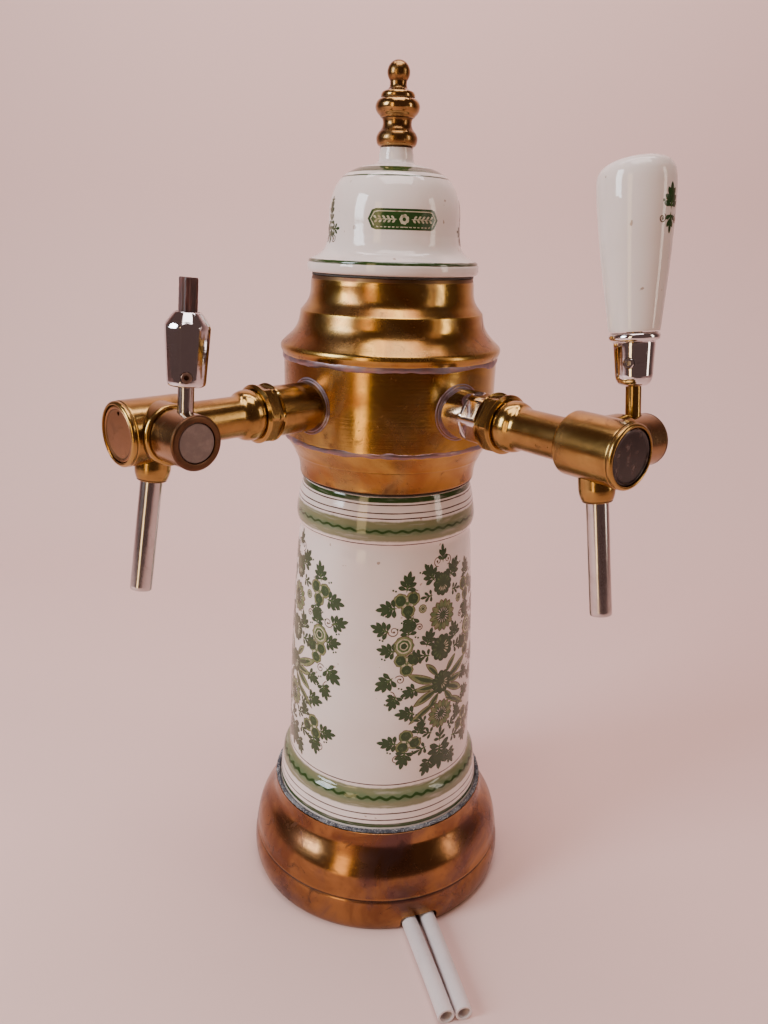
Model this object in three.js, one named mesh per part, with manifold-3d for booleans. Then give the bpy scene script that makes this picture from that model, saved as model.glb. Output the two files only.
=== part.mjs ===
// Two-tap beer tower: spun brass foot and head, glazed ceramic column and dome, two lever taps.
// Millimetres, +Z up. Origin: centre of the base plate's underside. The front is -Y.
import * as THREE from 'three';
import { mergeVertices } from 'three/addons/utils/BufferGeometryUtils.js';
import Module from 'manifold-3d';

const wasm = await Module();
wasm.setup();

// ---------------------------------------------------------------- driving dimensions
const GAP = 0.3;                 // clearance between pieces that touch
const BIG = 24;                  // sides of the large turned pieces
const MID = 16;                  // sides of the tap pieces
const SMALL = 10;                // sides of small and hidden pieces

const PLATE_R = 99;              // base plate
const PLATE_T = 5;
const SCREW_CIRCLE_R = 80;
const SCREW_HOLE_R = 3.2;
const HUB_R = 14;
const HUB_TOP = 22;
const ROD_R = 5;                 // M10 tie rod
const ROD_HOLE_R = ROD_R + 0.5;
const ROD_BOTTOM = 8.5;
const ROD_TOP = 586;

const LEDGE_Z = 71;              // shelf in the foot that carries the ceramic
const COLUMN_BOTTOM = 73;
const COLUMN_TOP = 339.5;
const COLLAR_BOTTOM = 341.5;
const DRUM_R = 76.8;             // manifold drum
const DRUM_WALL = 2.4;
const DRUM_BOTTOM = 372;
const DRUM_TOP = 430;
const HEAD_TOP = 484.2;          // top flange of the upper collar
const CLAMP_R = 41;              // steel plate, washer and nut that clamp the head
const CLAMP_TOP = 488.5;
const WASHER_R = 12;
const WASHER_T = 2;
const NUT_R = 9.8;
const NUT_T = 8;
const DOME_BOTTOM = 486;
const DOME_TOP = 567;

const AXIS_Z = 400;              // height of both tap axes
const TAP_TURN = THREE.MathUtils.degToRad(41.5); // each arm stands this far off the front
const TAP_REACH = 8;             // start of the tap's own frame, out from the tower's axis
const SHANK_R = 16.5;
const FLAT_REACH = 15.2;         // wrench flats, from the shank's axis
const THREAD_R = 11.7;
const SHANK_END = 109;           // measured from the tower's axis, as the locknut and the elbow are
const NOSE_R = 12.5;             // end of the shank inside the coupling nut
const NOSE_L = 6.5;
const THREAD_START = 58;
const NECK_START = 109.5;        // this and what follows is measured in the tap's own frame
const COUPLING_MID = 108;
const COUPLING_L = 13.5;
const COUPLING_R = 19;           // across corners
const PIPE_R = 13;
const BODY_R = 19;
const BODY_START = 168;
const BODY_END = 208;
const BEER_BORE_R = 4.7;
const CHAMBER_R = 10;            // valve chamber in the tap body
const SEAT_X = 166;
const LEVER_X = 184;             // lever axis
const DRUM_LEVER_R = 15.7;       // drum that the lever stands on
const BOSS_R = 17.8;
const BOSS_FACE = 21.7;
const SPINDLE_END = 39.5;
const DRUM_FACE = 45.5;
const STEM_Y = 32.5;             // lever stem, along the lever axis
const STEM_R = 4.5;
const SPINDLE_R = 6.5;
const CRANK = 4;                 // offset of the eccentric pin
const CRANK_REST = -Math.PI / 6; // the pin leans back at rest and forward when open
const CRANK_PIN_R = 2;
const SPOUT_X = 183;
const SPOUT_LEAN = THREE.MathUtils.degToRad(10);
const SPOUT_R = 6.5;
const SPOUT_END = 98;

const HOSE_R = 6;                // 12 mm beer line
const HOSE_BORE_R = 4.5;
const HOSE_SIDES = 8;
const HOSE_LINE = THREE.MathUtils.degToRad(19.15); // heading of the two lines, from the front to +X
const HOSE_LINE_OFFSET = 7.7;    // sideways offset of their common corridor
const TABLE_Z = HOSE_R + 0.05;   // height of a line's centre where it lies

// ---------------------------------------------------------------- finishes
const FINISH = {
  brass: { color: 0x9a7a34, roughness: 0.32, metalness: 1 },
  darkBrass: { color: 0x7d4f28, roughness: 0.35, metalness: 1 },
  chrome: { color: 0xd9d9dc, roughness: 0.08, metalness: 1 },
  steel: { color: 0xa6a4a2, roughness: 0.3, metalness: 1 },
  zinc: { color: 0x8f9294, roughness: 0.5, metalness: 1 },
  glaze: { color: 0xefe9e2, roughness: 0.12, metalness: 0 },
  putty: { color: 0x4a4a4c, roughness: 0.9, metalness: 0 },
  rubber: { color: 0x1c1b1a, roughness: 0.85, metalness: 0 },
  black: { color: 0x141210, roughness: 0.4, metalness: 0 },
  plug: { color: 0x5d4a40, roughness: 0.6, metalness: 0 },
  stub: { color: 0x3a1f18, roughness: 0.75, metalness: 0 },
  hose: { color: 0xe4e2dc, roughness: 0.45, metalness: 0 },
};

// ---------------------------------------------------------------- geometry helpers

// Position-only copy with shared corners joined and slivers at the axis removed.
function weld(geometry) {
  const plain = geometry.clone();
  plain.deleteAttribute('normal');
  plain.deleteAttribute('uv');
  const joined = mergeVertices(plain, 1e-3);
  const corners = joined.index.array;
  const kept = [];
  for (let i = 0; i < corners.length; i += 3) {
    const [a, b, c] = [corners[i], corners[i + 1], corners[i + 2]];
    if (a !== b && b !== c && c !== a) kept.push(a, b, c);
  }
  joined.setIndex(kept);
  return joined;
}

function toSolid(geometry) {
  const joined = weld(geometry);
  return new wasm.Manifold(new wasm.Mesh({
    numProp: 3,
    vertProperties: new Float32Array(joined.attributes.position.array),
    triVerts: new Uint32Array(joined.index.array),
  }));
}

function toGeometry(solid) {
  const mesh = solid.getMesh();
  const geometry = new THREE.BufferGeometry();
  geometry.setAttribute('position', new THREE.BufferAttribute(new Float32Array(mesh.vertProperties), 3));
  geometry.setIndex(Array.from(mesh.triVerts));
  return geometry;
}

function cut(geometry, ...tools) {
  const solid = tools.reduce((left, tool) => left.subtract(toSolid(tool)), toSolid(geometry));
  return toGeometry(solid);
}

function join(...geometries) {
  const [first, ...rest] = geometries.map(toSolid);
  return toGeometry(rest.reduce((sum, solid) => sum.add(solid), first));
}

function toward(geometry, axis) {
  if (axis === 'z') geometry.rotateX(Math.PI / 2);
  if (axis === 'x') geometry.rotateZ(-Math.PI / 2);
  return geometry;
}

// Turned solid. The profile lists [radius, height] and runs from axis to axis.
function turned(profile, sides, axis = 'z') {
  const points = profile.map(([r, h]) => new THREE.Vector2(r, h));
  return toward(new THREE.LatheGeometry(points, sides), axis);
}

// Turned ring or shell. The profile closes on itself.
function turnedShell(profile, sides, axis = 'z') {
  return turned([...profile, profile[0]], sides, axis);
}

// Plain cylinder along an axis, from one height to another.
function rod(r, from, to, sides, axis = 'z') {
  return turned([[0, from], [r, from], [r, to], [0, to]], sides, axis);
}

// Ring with a round hole.
function ring(rIn, rOut, from, to, sides, axis = 'z') {
  return turnedShell([[rIn, from], [rOut, from], [rOut, to], [rIn, to]], sides, axis);
}

// Hexagon nut with a round hole.
function hexNut(corner, hole, from, to, axis) {
  return cut(rod(corner, from, to, 6, axis), rod(hole, from - 1, to + 1, MID, axis));
}

// Points of a smooth curve through a few [radius, height] knots.
function smooth(knots, steps) {
  const curve = new THREE.SplineCurve(knots.map(([r, h]) => new THREE.Vector2(r, h)));
  return curve.getPoints(steps).map((p) => [p.x, p.y]);
}

// Hose or pipe along a smooth route, with an open bore.
function pipe(route, r, bore, sides, steps) {
  const section = new THREE.Shape().absarc(0, 0, r, 0, 2 * Math.PI, false);
  section.holes.push(new THREE.Path().absarc(0, 0, bore, 0, 2 * Math.PI, true));
  return new THREE.ExtrudeGeometry(section, {
    steps,
    bevelEnabled: false,
    curveSegments: sides / 2,
    extrudePath: new THREE.CatmullRomCurve3(route.map((p) => new THREE.Vector3(...p))),
  });
}

function piece(parent, name, geometry, finish) {
  const mesh = new THREE.Mesh(weld(geometry), new THREE.MeshStandardMaterial(FINISH[finish]));
  mesh.name = name;
  parent.add(mesh);
  return mesh;
}

// ---------------------------------------------------------------- tower pieces

// Block with round upper corners that runs outwards along the lines' corridor.
function hoseCorridor(halfWidth, height, from, to) {
  const corner = 5;
  const outline = new THREE.Shape()
    .moveTo(-halfWidth, -1)
    .lineTo(halfWidth, -1)
    .lineTo(halfWidth, height - corner)
    .absarc(halfWidth - corner, height - corner, corner, 0, Math.PI / 2, false)
    .lineTo(corner - halfWidth, height)
    .absarc(corner - halfWidth, height - corner, corner, Math.PI / 2, Math.PI, false);
  return new THREE.ExtrudeGeometry(outline, { depth: to - from, bevelEnabled: false, curveSegments: 3 })
    .rotateX(Math.PI / 2)
    .translate(HOSE_LINE_OFFSET, -from, 0)
    .rotateZ(HOSE_LINE);
}

// Steel disc with a hub for the tie rod, a slot for the lines and three screw holes.
function basePlate() {
  const disc = turned([
    [0, 0], [PLATE_R, 0], [PLATE_R, PLATE_T], [HUB_R, PLATE_T], [HUB_R, HUB_TOP],
    [ROD_HOLE_R, HUB_TOP], [ROD_HOLE_R, ROD_BOTTOM - GAP], [0, ROD_BOTTOM - GAP],
  ], BIG);
  const screws = [60, 180, 300].map((degrees) => rod(SCREW_HOLE_R, -1, PLATE_T + 1, SMALL)
    .translate(0, -SCREW_CIRCLE_R, 0)
    .rotateZ(HOSE_LINE + THREE.MathUtils.degToRad(degrees)));
  return cut(disc, hoseCorridor(16, 3 * PLATE_T, 62, 110), ...screws);
}

// Spun brass foot: rolled bottom flange, ogee side, ledge and upright lip round the ceramic.
function baseShell() {
  const outside = [
    [103, 0], [104.8, 6], [105.5, 13], [105.5, 22], [103.6, 26.5], [103.4, 31.5], [102.2, 39.5],
    [100, 47], [96.3, 54], [91.7, 61], [88.6, 67], [87.6, 72], [87, 77],
  ];
  const inside = [
    [85.4, 77], [85.4, LEDGE_Z], [70, LEDGE_Z], [70, 68.6], [84.5, 68.6], [93.6, 54.5],
    [99.8, 40], [101.2, 28], [103, 20], [102.4, 9], [101, 7.4], [94, 7.4], [94, PLATE_T + 0.4],
    [100, PLATE_T + 0.4], [100, 0],
  ];
  return cut(turnedShell([...outside, ...inside], BIG), hoseCorridor(15, 13, 86, 112));
}

// Putty ring between the foot and the ceramic, with an upright edge inside the lip.
function baseGasket() {
  return turnedShell([
    [74, LEDGE_Z + GAP], [85, LEDGE_Z + GAP], [85, 77.6], [84.35, 77.6],
    [84.35, COLUMN_BOTTOM - GAP], [74, COLUMN_BOTTOM - GAP],
  ], BIG);
}

// Hollow ceramic column: flared foot, lower bulge, long taper, upper bulge, neck.
function ceramicColumn() {
  const outside = [
    [84, COLUMN_BOTTOM], [82.2, 88], [81, 95], [80.4, 101], [77.8, 105.5], [74.9, 108], [74.5, 130],
    [73.6, 170], [72.3, 203], [70, 245], [68.6, 266], [67, 290], [65.6, 299], [67.9, 307],
    [67.9, 314], [66, 327], [63.8, 334.5], [63, COLUMN_TOP],
  ];
  const inside = [[56, COLUMN_TOP], [57, 330], [62, 245], [67, 125], [75, COLUMN_BOTTOM]];
  return turnedShell([...outside, ...inside], BIG);
}

function lowerCollar() {
  const top = DRUM_BOTTOM - GAP;
  return turnedShell([
    [55, COLLAR_BOTTOM], [65.5, COLLAR_BOTTOM], [66, 350], [69, 358], [70.5, 361], [74, 367], [76.5, top],
    [74.1, top], [71.5, 367], [66, 357], [63.2, 350], [63, COLLAR_BOTTOM + 2.4], [55, COLLAR_BOTTOM + 2.4],
  ], BIG);
}

// Brass cylinder with one round hole for each shank.
function manifoldDrum() {
  const wall = ring(DRUM_R - DRUM_WALL, DRUM_R, DRUM_BOTTOM, DRUM_TOP, BIG);
  const holes = [-TAP_TURN, TAP_TURN].map((turn) => rod(THREAD_R + GAP, 60, 90, MID, 'x')
    .rotateZ(turn - Math.PI / 2)
    .translate(0, 0, AXIS_Z));
  return cut(wall, ...holes);
}

// Spun ring with a rolled rim and two coves that step in to a flat top flange.
function upperCollar() {
  const bottom = DRUM_TOP + GAP;
  const outside = [
    [77.6, bottom], [79.2, 436.5], [77, 439.5], [71, 444.5], [68.4, 447.5], [66.2, 453], [65, 458],
    [64, 461], [60, 466.6], [58.4, 469.5], [57.5, 474], [57.5, HEAD_TOP],
  ];
  const inside = [
    [34, HEAD_TOP], [34, HEAD_TOP - 2.4], [55.1, HEAD_TOP - 2.4], [55.1, 473], [56.4, 467.6], [61.6, 460],
    [63.8, 452], [67, 444.5], [75.6, 436.6], [75.2, bottom],
  ];
  return turnedShell([...outside, ...inside], BIG);
}

// Hollow ceramic dome with a flared lip and a solid neck for the rod.
function domeCap() {
  const outside = [
    [52, DOME_BOTTOM], [58.7, DOME_BOTTOM], [60, 487.5], [60, 493.6], [55, 496.5], [50, 500], [46.5, 505],
    [45, 511], [45, 530], [42.8, 536.5], [40, 543], [36, 548], [28.5, 553], [23, 555.6], [13, 556.6],
    [11.7, 558.5], [11.7, DOME_TOP],
  ];
  const inside = [[6, DOME_TOP], [6, 551], [20, 549.5], [30, 545], [36, 538], [39.3, 528], [39.3, 511], [41, 503], [46, 495]];
  return turnedShell([...outside, ...inside], BIG);
}

// Turned brass vase and ball, with a blind hole for the rod.
function finial() {
  const bottom = DOME_TOP + GAP;
  const ballR = 7.5;
  const ballZ = 613;
  const ball = [-50, -25, 0, 25, 50, 72].map((degrees) => {
    const angle = THREE.MathUtils.degToRad(degrees);
    return [ballR * Math.cos(angle), ballZ + ballR * Math.sin(angle)];
  });
  return turned([
    [0, 588], [ROD_HOLE_R, 588], [ROD_HOLE_R, bottom], [10.3, bottom], [13.7, 571.5], [13.7, 574.5],
    [10, 579], [9.6, 582], [11.7, 586], [14.8, 591], [14.2, 595], [11.5, 598], [10.5, 601], [5.2, 604.5],
    ...ball, [0, ballZ + ballR],
  ], MID);
}

// ---------------------------------------------------------------- tap pieces, arm along +X, lever axis along +Y

// Tube through the drum wall. Its outer part ends on the drum's curve.
function shank(wrenchFlats) {
  const collar = cut(
    rod(SHANK_R, 60, SHANK_END, MID, 'x'),
    rod(DRUM_R + GAP, -40, 40, 4 * BIG),
  );
  const thread = rod(THREAD_R, THREAD_START, 90, MID, 'x');
  const nose = rod(NOSE_R, 90, SHANK_END + NOSE_L, MID, 'x');
  const bored = cut(join(collar, thread, nose), rod(BEER_BORE_R, THREAD_START - 5, SHANK_END + 2 * NOSE_L, SMALL, 'x'));
  if (!wrenchFlats) return bored;
  const flats = [0, 1, 2, 3, 4, 5].map((side) => new THREE.BoxGeometry(16, 24, 6)
    .translate(SHANK_END - 7, 0, FLAT_REACH + 3)
    .rotateX((side + 0.5) * Math.PI / 3));
  return cut(bored, ...flats);
}

// Bent pipe inside the head that the beer line pushes onto.
function tailElbow() {
  const bend = [0, 30, 60, 90].map((degrees) => {
    const angle = THREE.MathUtils.degToRad(degrees);
    return [56 - 16 * Math.sin(angle), 0, 16 * Math.cos(angle) - 16];
  });
  return pipe([[70, 0, 0], [63, 0, 0], ...bend, [40, 0, -30], [40, 0, -46]], 3.8, 2.6, 8, 9);
}

// Brass body: nose, flared collar, pipe, valve chamber, side boss.
function tapBody() {
  const outside = turned([
    [0, NECK_START], [NOSE_R, NECK_START], [NOSE_R, 115], [15.6, 115], [16, 116.5], [16, 121],
    [15, 124.5], [PIPE_R, 127], [PIPE_R, BODY_START - 2], [BODY_R - 1.2, BODY_START - 2],
    [BODY_R, BODY_START - 0.5], [BODY_R, BODY_END - 1.5], [BODY_R - 1.5, BODY_END], [0, BODY_END],
  ], MID, 'x');
  const boss = rod(BOSS_R, 0, BOSS_FACE, MID, 'y').translate(LEVER_X, 0, 0);
  const spoutWay = rod(4.5, 5, 30, SMALL).rotateX(Math.PI).rotateY(-SPOUT_LEAN).translate(SPOUT_X, 0, 0);
  return cut(
    join(outside, boss),
    rod(BEER_BORE_R, 100, SEAT_X + 1, SMALL, 'x'),
    rod(CHAMBER_R, SEAT_X, BODY_END + 1, MID, 'x'),
    rod(BODY_R - 2.4, 201, BODY_END + 1, MID, 'x'),
    rod(SPINDLE_R + 0.5, 5, BOSS_FACE + 1, MID, 'y').translate(LEVER_X, 0, 0),
    spoutWay,
  );
}

// Screwed end cap: flat disc in the body's rim and a short plug in the chamber.
function endCap() {
  return turned([
    [0, 199], [CHAMBER_R - 0.4, 199], [CHAMBER_R - 0.4, 202.4], [BODY_R - 2.8, 202.4],
    [BODY_R - 2.8, 206.4], [BODY_R - 3.6, 207.2], [0, 207.2],
  ], MID, 'x');
}

// Brass cone under the body. Its top follows the curves of the body and the boss.
function spoutSocket() {
  const cone = turnedShell([
    [SPOUT_R + GAP, 10], [10.5, 10], [10.4, 24], [9.2, 29], [8, 31], [SPOUT_R + GAP, 31],
  ], MID).rotateX(Math.PI).rotateY(-SPOUT_LEAN).translate(SPOUT_X, 0, 0);
  return cut(
    cone,
    rod(BODY_R + GAP, 150, 220, 2 * MID, 'x'),
    rod(BOSS_R + GAP, -1, BOSS_FACE + GAP, 2 * MID, 'y').translate(LEVER_X, 0, 0),
  );
}

function spoutTube() {
  return ring(SPOUT_R - 1, SPOUT_R, 21.5, SPOUT_END, MID)
    .rotateX(Math.PI)
    .rotateY(-SPOUT_LEAN)
    .translate(SPOUT_X, 0, 0);
}

// Spindle through the boss with the eccentric pin that drives the piston.
function spindle() {
  const pin = rod(CRANK_PIN_R, -5, 12, SMALL, 'y')
    .translate(CRANK * Math.sin(CRANK_REST), 0, CRANK * Math.cos(CRANK_REST));
  return join(rod(SPINDLE_R, 10.4, SPINDLE_END, MID, 'y'), pin);
}

// Drum that carries the lever: blind bore for the spindle, recess for the plug, hole for the stem.
function leverDrum() {
  const body = turned([
    [0, SPINDLE_END + 0.5], [SPINDLE_R + GAP, SPINDLE_END + 0.5], [SPINDLE_R + GAP, BOSS_FACE + 0.4], [DRUM_LEVER_R - 0.8, BOSS_FACE + 0.4],
    [DRUM_LEVER_R, BOSS_FACE + 1.2], [DRUM_LEVER_R, DRUM_FACE - 1], [DRUM_LEVER_R - 1, DRUM_FACE],
    [11.5, DRUM_FACE], [11.5, DRUM_FACE - 2.4], [0, DRUM_FACE - 2.4],
  ], MID, 'y');
  return cut(body, rod(STEM_R + GAP, 4, 20, SMALL).translate(0, STEM_Y, 0));
}

// Valve piston with a slot for the eccentric pin and a flat that lets the beer past.
function piston() {
  const pinX = LEVER_X + CRANK * Math.sin(CRANK_REST);
  return cut(
    rod(CHAMBER_R - 0.4, 168.7, 194.6, MID, 'x'),
    new THREE.BoxGeometry(2 * CRANK_PIN_R + 0.8, 20, 7.4).translate(pinX, 4, 3.9),
    new THREE.BoxGeometry(40, 20, 4).translate(182, 0, -9.4),
  );
}

// Chrome ferrule, with holes for the stem below, the handle's core above and the set screw.
function ferrule(profile, topHole, topHoleFrom, screwTurn, screwZ) {
  const bottom = profile[0][1];
  const top = profile[profile.length - 1][1];
  return cut(
    turned([[0, bottom], ...profile, [0, top]], MID),
    rod(STEM_R + GAP, 0, topHoleFrom + 1, SMALL),
    rod(topHole, topHoleFrom, 200, SMALL),
    rod(3.3, 0, 30, SMALL, 'x').rotateZ(screwTurn).translate(0, 0, screwZ),
  );
}

function setScrew(screwTurn, screwZ, face) {
  const body = rod(3, STEM_R + 0.4, face, SMALL, 'x');
  const socket = rod(1.5, face - 2, face + 1, 6, 'x');
  return cut(body, socket).rotateZ(screwTurn).translate(0, 0, screwZ);
}

// White ceramic handle: slim foot, swelling side, domed top that slopes down to one side.
function ceramicHandle() {
  const bottom = 63.3;
  const side = smooth([[14.5, bottom], [15.9, 75], [19.1, 103], [21.3, 131], [21.6, 143.5]], 7);
  const crown = [[21, 149.4], [18.4, 153.9], [13.6, 156.7], [6.8, 157.6]];
  return turned([
    [0, 92], [STEM_R + GAP, 92], [STEM_R + GAP, bottom], ...side, ...crown, [0, 157.7],
  ], 24);
}

// ---------------------------------------------------------------- assembly

const tower = new THREE.Group();
piece(tower, 'base_plate', basePlate(), 'zinc');
piece(tower, 'base_shell', baseShell(), 'darkBrass');
piece(tower, 'base_gasket', baseGasket(), 'putty');
piece(tower, 'ceramic_column', ceramicColumn(), 'glaze');
piece(tower, 'collar_gasket', ring(56, 62.7, COLUMN_TOP + GAP, COLLAR_BOTTOM - GAP, BIG), 'rubber');
piece(tower, 'lower_collar', lowerCollar(), 'brass');
piece(tower, 'manifold_drum', manifoldDrum(), 'brass');
piece(tower, 'upper_collar', upperCollar(), 'brass');
piece(tower, 'cap_gasket', ring(51, 57, HEAD_TOP + GAP, DOME_BOTTOM - GAP, BIG), 'rubber');
piece(tower, 'dome_cap', domeCap(), 'glaze');
piece(tower, 'finial', finial(), 'brass');
piece(tower, 'tie_rod', rod(ROD_R, ROD_BOTTOM, ROD_TOP, SMALL), 'zinc');
piece(tower, 'clamp_plate', ring(ROD_HOLE_R, CLAMP_R, HEAD_TOP + GAP, CLAMP_TOP, MID), 'zinc');
const washerTop = CLAMP_TOP + GAP + WASHER_T;
piece(tower, 'tie_washer', ring(ROD_HOLE_R, WASHER_R, CLAMP_TOP + GAP, washerTop, SMALL), 'zinc');
piece(tower, 'tie_nut', hexNut(NUT_R, ROD_HOLE_R, washerTop + GAP, washerTop + GAP + NUT_T, 'z'), 'zinc');

const TAPS = [
  {
    side: 'left',
    turn: -Math.PI / 2 - TAP_TURN,
    shankFinish: 'brass',
    capFinish: 'brass',
    stemFinish: 'steel',
    lean: 4.8,
    stemTop: 54,
    screw: { turn: 1.02, z: 35.2, face: 11 },
    line: [
      [-26.5, -30, 376], [-26.5, -30, 350], [-20, -33, 290], [-6, -38, 200], [9, -45, 120],
      [15.5, -48, 80], [16.2, -48.5, 56], [18.5, -54.8, 31], [24.7, -72, 12.7], [33.3, -95.5, TABLE_Z],
      [34.2, -98, TABLE_Z],
    ],
    tail: [[34.3, -98.3, TABLE_Z], [44.2, -125, TABLE_Z], [53.9, -151.5, TABLE_Z], [62.9, -177.2, TABLE_Z]],
  },
  {
    side: 'right',
    turn: -Math.PI / 2 + TAP_TURN,
    shankFinish: 'chrome',
    capFinish: 'black',
    stemFinish: 'brass',
    lean: 7.5,
    stemTop: 88,
    screw: { turn: -1.2, z: 46, face: 11.4 },
    line: [
      [26.5, -30, 376], [26.5, -30, 350], [27.3, -32, 290], [29.5, -36, 200], [30.8, -40, 120],
      [31.2, -41.5, 80], [31.3, -41.9, 56], [33.4, -48.3, 31], [39.2, -65.6, 12.7], [47.1, -89.3, TABLE_Z],
      [47.9, -91.9, TABLE_Z],
    ],
    tail: [[48, -92.2, TABLE_Z], [57.3, -119.5, TABLE_Z], [66.4, -147, TABLE_Z], [75, -173.5, TABLE_Z]],
  },
];

for (const tap of TAPS) {
  const { side, screw } = tap;
  const arm = new THREE.Group();
  arm.position.z = AXIS_Z;
  arm.rotation.z = tap.turn;
  tower.add(arm);
  const tapFrame = new THREE.Group();
  tapFrame.position.x = TAP_REACH;
  arm.add(tapFrame);

  piece(arm, `${side}_shank`, shank(side === 'right'), tap.shankFinish);
  piece(arm, `${side}_shank_locknut`, hexNut(18.4, THREAD_R + GAP, 64.5, 71.3, 'x'), 'brass');
  piece(arm, `${side}_tail_elbow`, tailElbow(), 'steel');
  piece(tapFrame, `${side}_coupling_nut`, hexNut(COUPLING_R, NOSE_R + GAP,
    COUPLING_MID - COUPLING_L / 2, COUPLING_MID + COUPLING_L / 2, 'x'), 'brass');
  piece(tapFrame, `${side}_coupling_seal`, ring(BEER_BORE_R, NOSE_R - 0.2, 107.8, 109.2, MID, 'x'), 'rubber');
  piece(tapFrame, `${side}_tap_body`, tapBody(), 'brass');
  piece(tapFrame, `${side}_end_cap_seal`, ring(CHAMBER_R + 0.3, BODY_R - 3, 201.3, 202.1, MID, 'x'), 'rubber');
  piece(tapFrame, `${side}_end_cap`, endCap(), tap.capFinish);
  piece(tapFrame, `${side}_spout_socket`, spoutSocket(), 'brass');
  piece(tapFrame, `${side}_spout_tube`, spoutTube(), 'steel');
  piece(tapFrame, `${side}_piston`, piston(), 'steel');
  piece(tapFrame, `${side}_piston_seal`, rod(8, SEAT_X + GAP, 168.4, SMALL, 'x'), 'rubber');

  const turning = new THREE.Group();
  turning.position.x = LEVER_X;
  tapFrame.add(turning);
  piece(turning, `${side}_spindle`, spindle(), 'steel');

  const lever = new THREE.Group();
  lever.rotation.y = -THREE.MathUtils.degToRad(tap.lean);
  turning.add(lever);
  piece(lever, `${side}_lever_drum`, leverDrum(), 'brass');
  piece(lever, `${side}_drum_plug`, rod(11.1, DRUM_FACE - 2.1, DRUM_FACE - 0.5, MID, 'y'), 'plug');

  const grip = new THREE.Group();
  grip.position.y = STEM_Y;
  lever.add(grip);
  piece(grip, `${side}_lever_stem`, rod(STEM_R, SPINDLE_R + 1, tap.stemTop, SMALL), tap.stemFinish);
  piece(grip, `${side}_set_screw`, setScrew(screw.turn, screw.z, screw.face), side === 'left' ? 'stub' : 'chrome');
  if (side === 'left') {
    const body = [[9.4, 29.5], [11.4, 31.5], [13, 61], [12.7, 62.4], [7.6, 69.3]];
    piece(grip, 'left_ferrule', ferrule(body, 5.5, 56, screw.turn, screw.z), 'chrome');
    piece(grip, 'left_handle_stub', rod(5.15, 56.4, 87, SMALL), 'stub');
  } else {
    const cup = [[6.5, 32.6], [9.4, 34.2], [10.7, 37.6], [11.9, 57.4]];
    piece(grip, 'right_ferrule', ferrule(cup, STEM_R + GAP, 50, screw.turn, screw.z), 'chrome');
    piece(grip, 'right_handle_ring', turnedShell([
      [STEM_R + GAP, 57.7], [13.1, 57.7], [14.5, 59.4], [14.5, 61.4], [13.3, 63], [STEM_R + GAP, 63],
    ], MID), 'chrome');
    piece(grip, 'right_handle', ceramicHandle(), 'glaze');
  }

  piece(tower, `${side}_riser_hose`, pipe(tap.line, HOSE_R, HOSE_BORE_R, HOSE_SIDES, 16), 'hose');
  piece(tower, `${side}_hose_tail`, pipe(tap.tail, HOSE_R, HOSE_BORE_R, HOSE_SIDES, 4), 'hose');
}

export default tower;
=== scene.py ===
"""Beer tap tower: painted ceramic column and dome, spun brass foot and head, two lever taps."""
import cmath
import math

import bmesh
import bpy
import numpy as np
from mathutils import Matrix, Vector


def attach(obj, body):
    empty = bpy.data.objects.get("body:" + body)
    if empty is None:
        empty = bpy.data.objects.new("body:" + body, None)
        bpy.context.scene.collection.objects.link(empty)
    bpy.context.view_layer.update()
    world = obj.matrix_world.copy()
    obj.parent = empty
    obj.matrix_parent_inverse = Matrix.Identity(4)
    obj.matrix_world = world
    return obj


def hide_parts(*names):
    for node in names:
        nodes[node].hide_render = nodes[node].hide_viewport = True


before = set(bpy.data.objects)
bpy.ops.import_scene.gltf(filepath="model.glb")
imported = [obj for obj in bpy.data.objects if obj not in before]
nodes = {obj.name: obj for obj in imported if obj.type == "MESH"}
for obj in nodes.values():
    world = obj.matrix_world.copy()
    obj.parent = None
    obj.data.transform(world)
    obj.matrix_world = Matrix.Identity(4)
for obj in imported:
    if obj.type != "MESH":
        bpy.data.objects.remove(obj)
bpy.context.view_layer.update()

# ------------------------------------------------------------------ camera
# Standing height, looking a little down at the tower, turned slightly in its own plane.
EYE = Vector((0.0365, -0.5989, 0.5086))
EYE_TURN = math.radians(3.6)
EYE_TILT = math.radians(71.5)
EYE_ROLL = math.radians(1.7)

eye_data = bpy.data.cameras.new("camera")
eye_data.lens = 28.65
eye = bpy.data.objects.new("camera", eye_data)
eye.matrix_world = (Matrix.Translation(EYE) @ Matrix.Rotation(EYE_TURN, 4, "Z")
                    @ Matrix.Rotation(EYE_TILT, 4, "X") @ Matrix.Rotation(EYE_ROLL, 4, "Z"))
bpy.context.scene.collection.objects.link(eye)
bpy.context.scene.camera = eye

# ------------------------------------------------------------------ beer lines
# Two lengths of milky 12 mm polyethylene line. They come down the column, turn under the foot and
# leave through a relief in its rim, and lie on the counter cut off square.
MM = 0.001
LINE_R = 6 * MM
LINE_BORE = 4.5 * MM
ON_TABLE = 6.05


def link(tree, value, socket):
    """Feed a socket from another socket, or set it to a value."""
    if isinstance(value, bpy.types.NodeSocket):
        tree.links.new(value, socket)
    else:
        socket.default_value = value


def node(tree, kind, settings=None, inputs=None):
    """Add a node, set its properties, and feed its inputs."""
    made = tree.nodes.new(kind)
    for key, value in (settings or {}).items():
        setattr(made, key, value)
    for key, value in (inputs or {}).items():
        link(tree, value, made.inputs[key])
    return made


def new_material(name):
    """An empty material with its Principled shader wired to the output."""
    made = bpy.data.materials.new(name)
    made.use_nodes = True
    tree = made.node_tree
    tree.nodes.clear()
    surface = tree.nodes.new("ShaderNodeBsdfPrincipled")
    output = tree.nodes.new("ShaderNodeOutputMaterial")
    tree.links.new(surface.outputs["BSDF"], output.inputs["Surface"])
    return made, tree, surface


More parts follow.
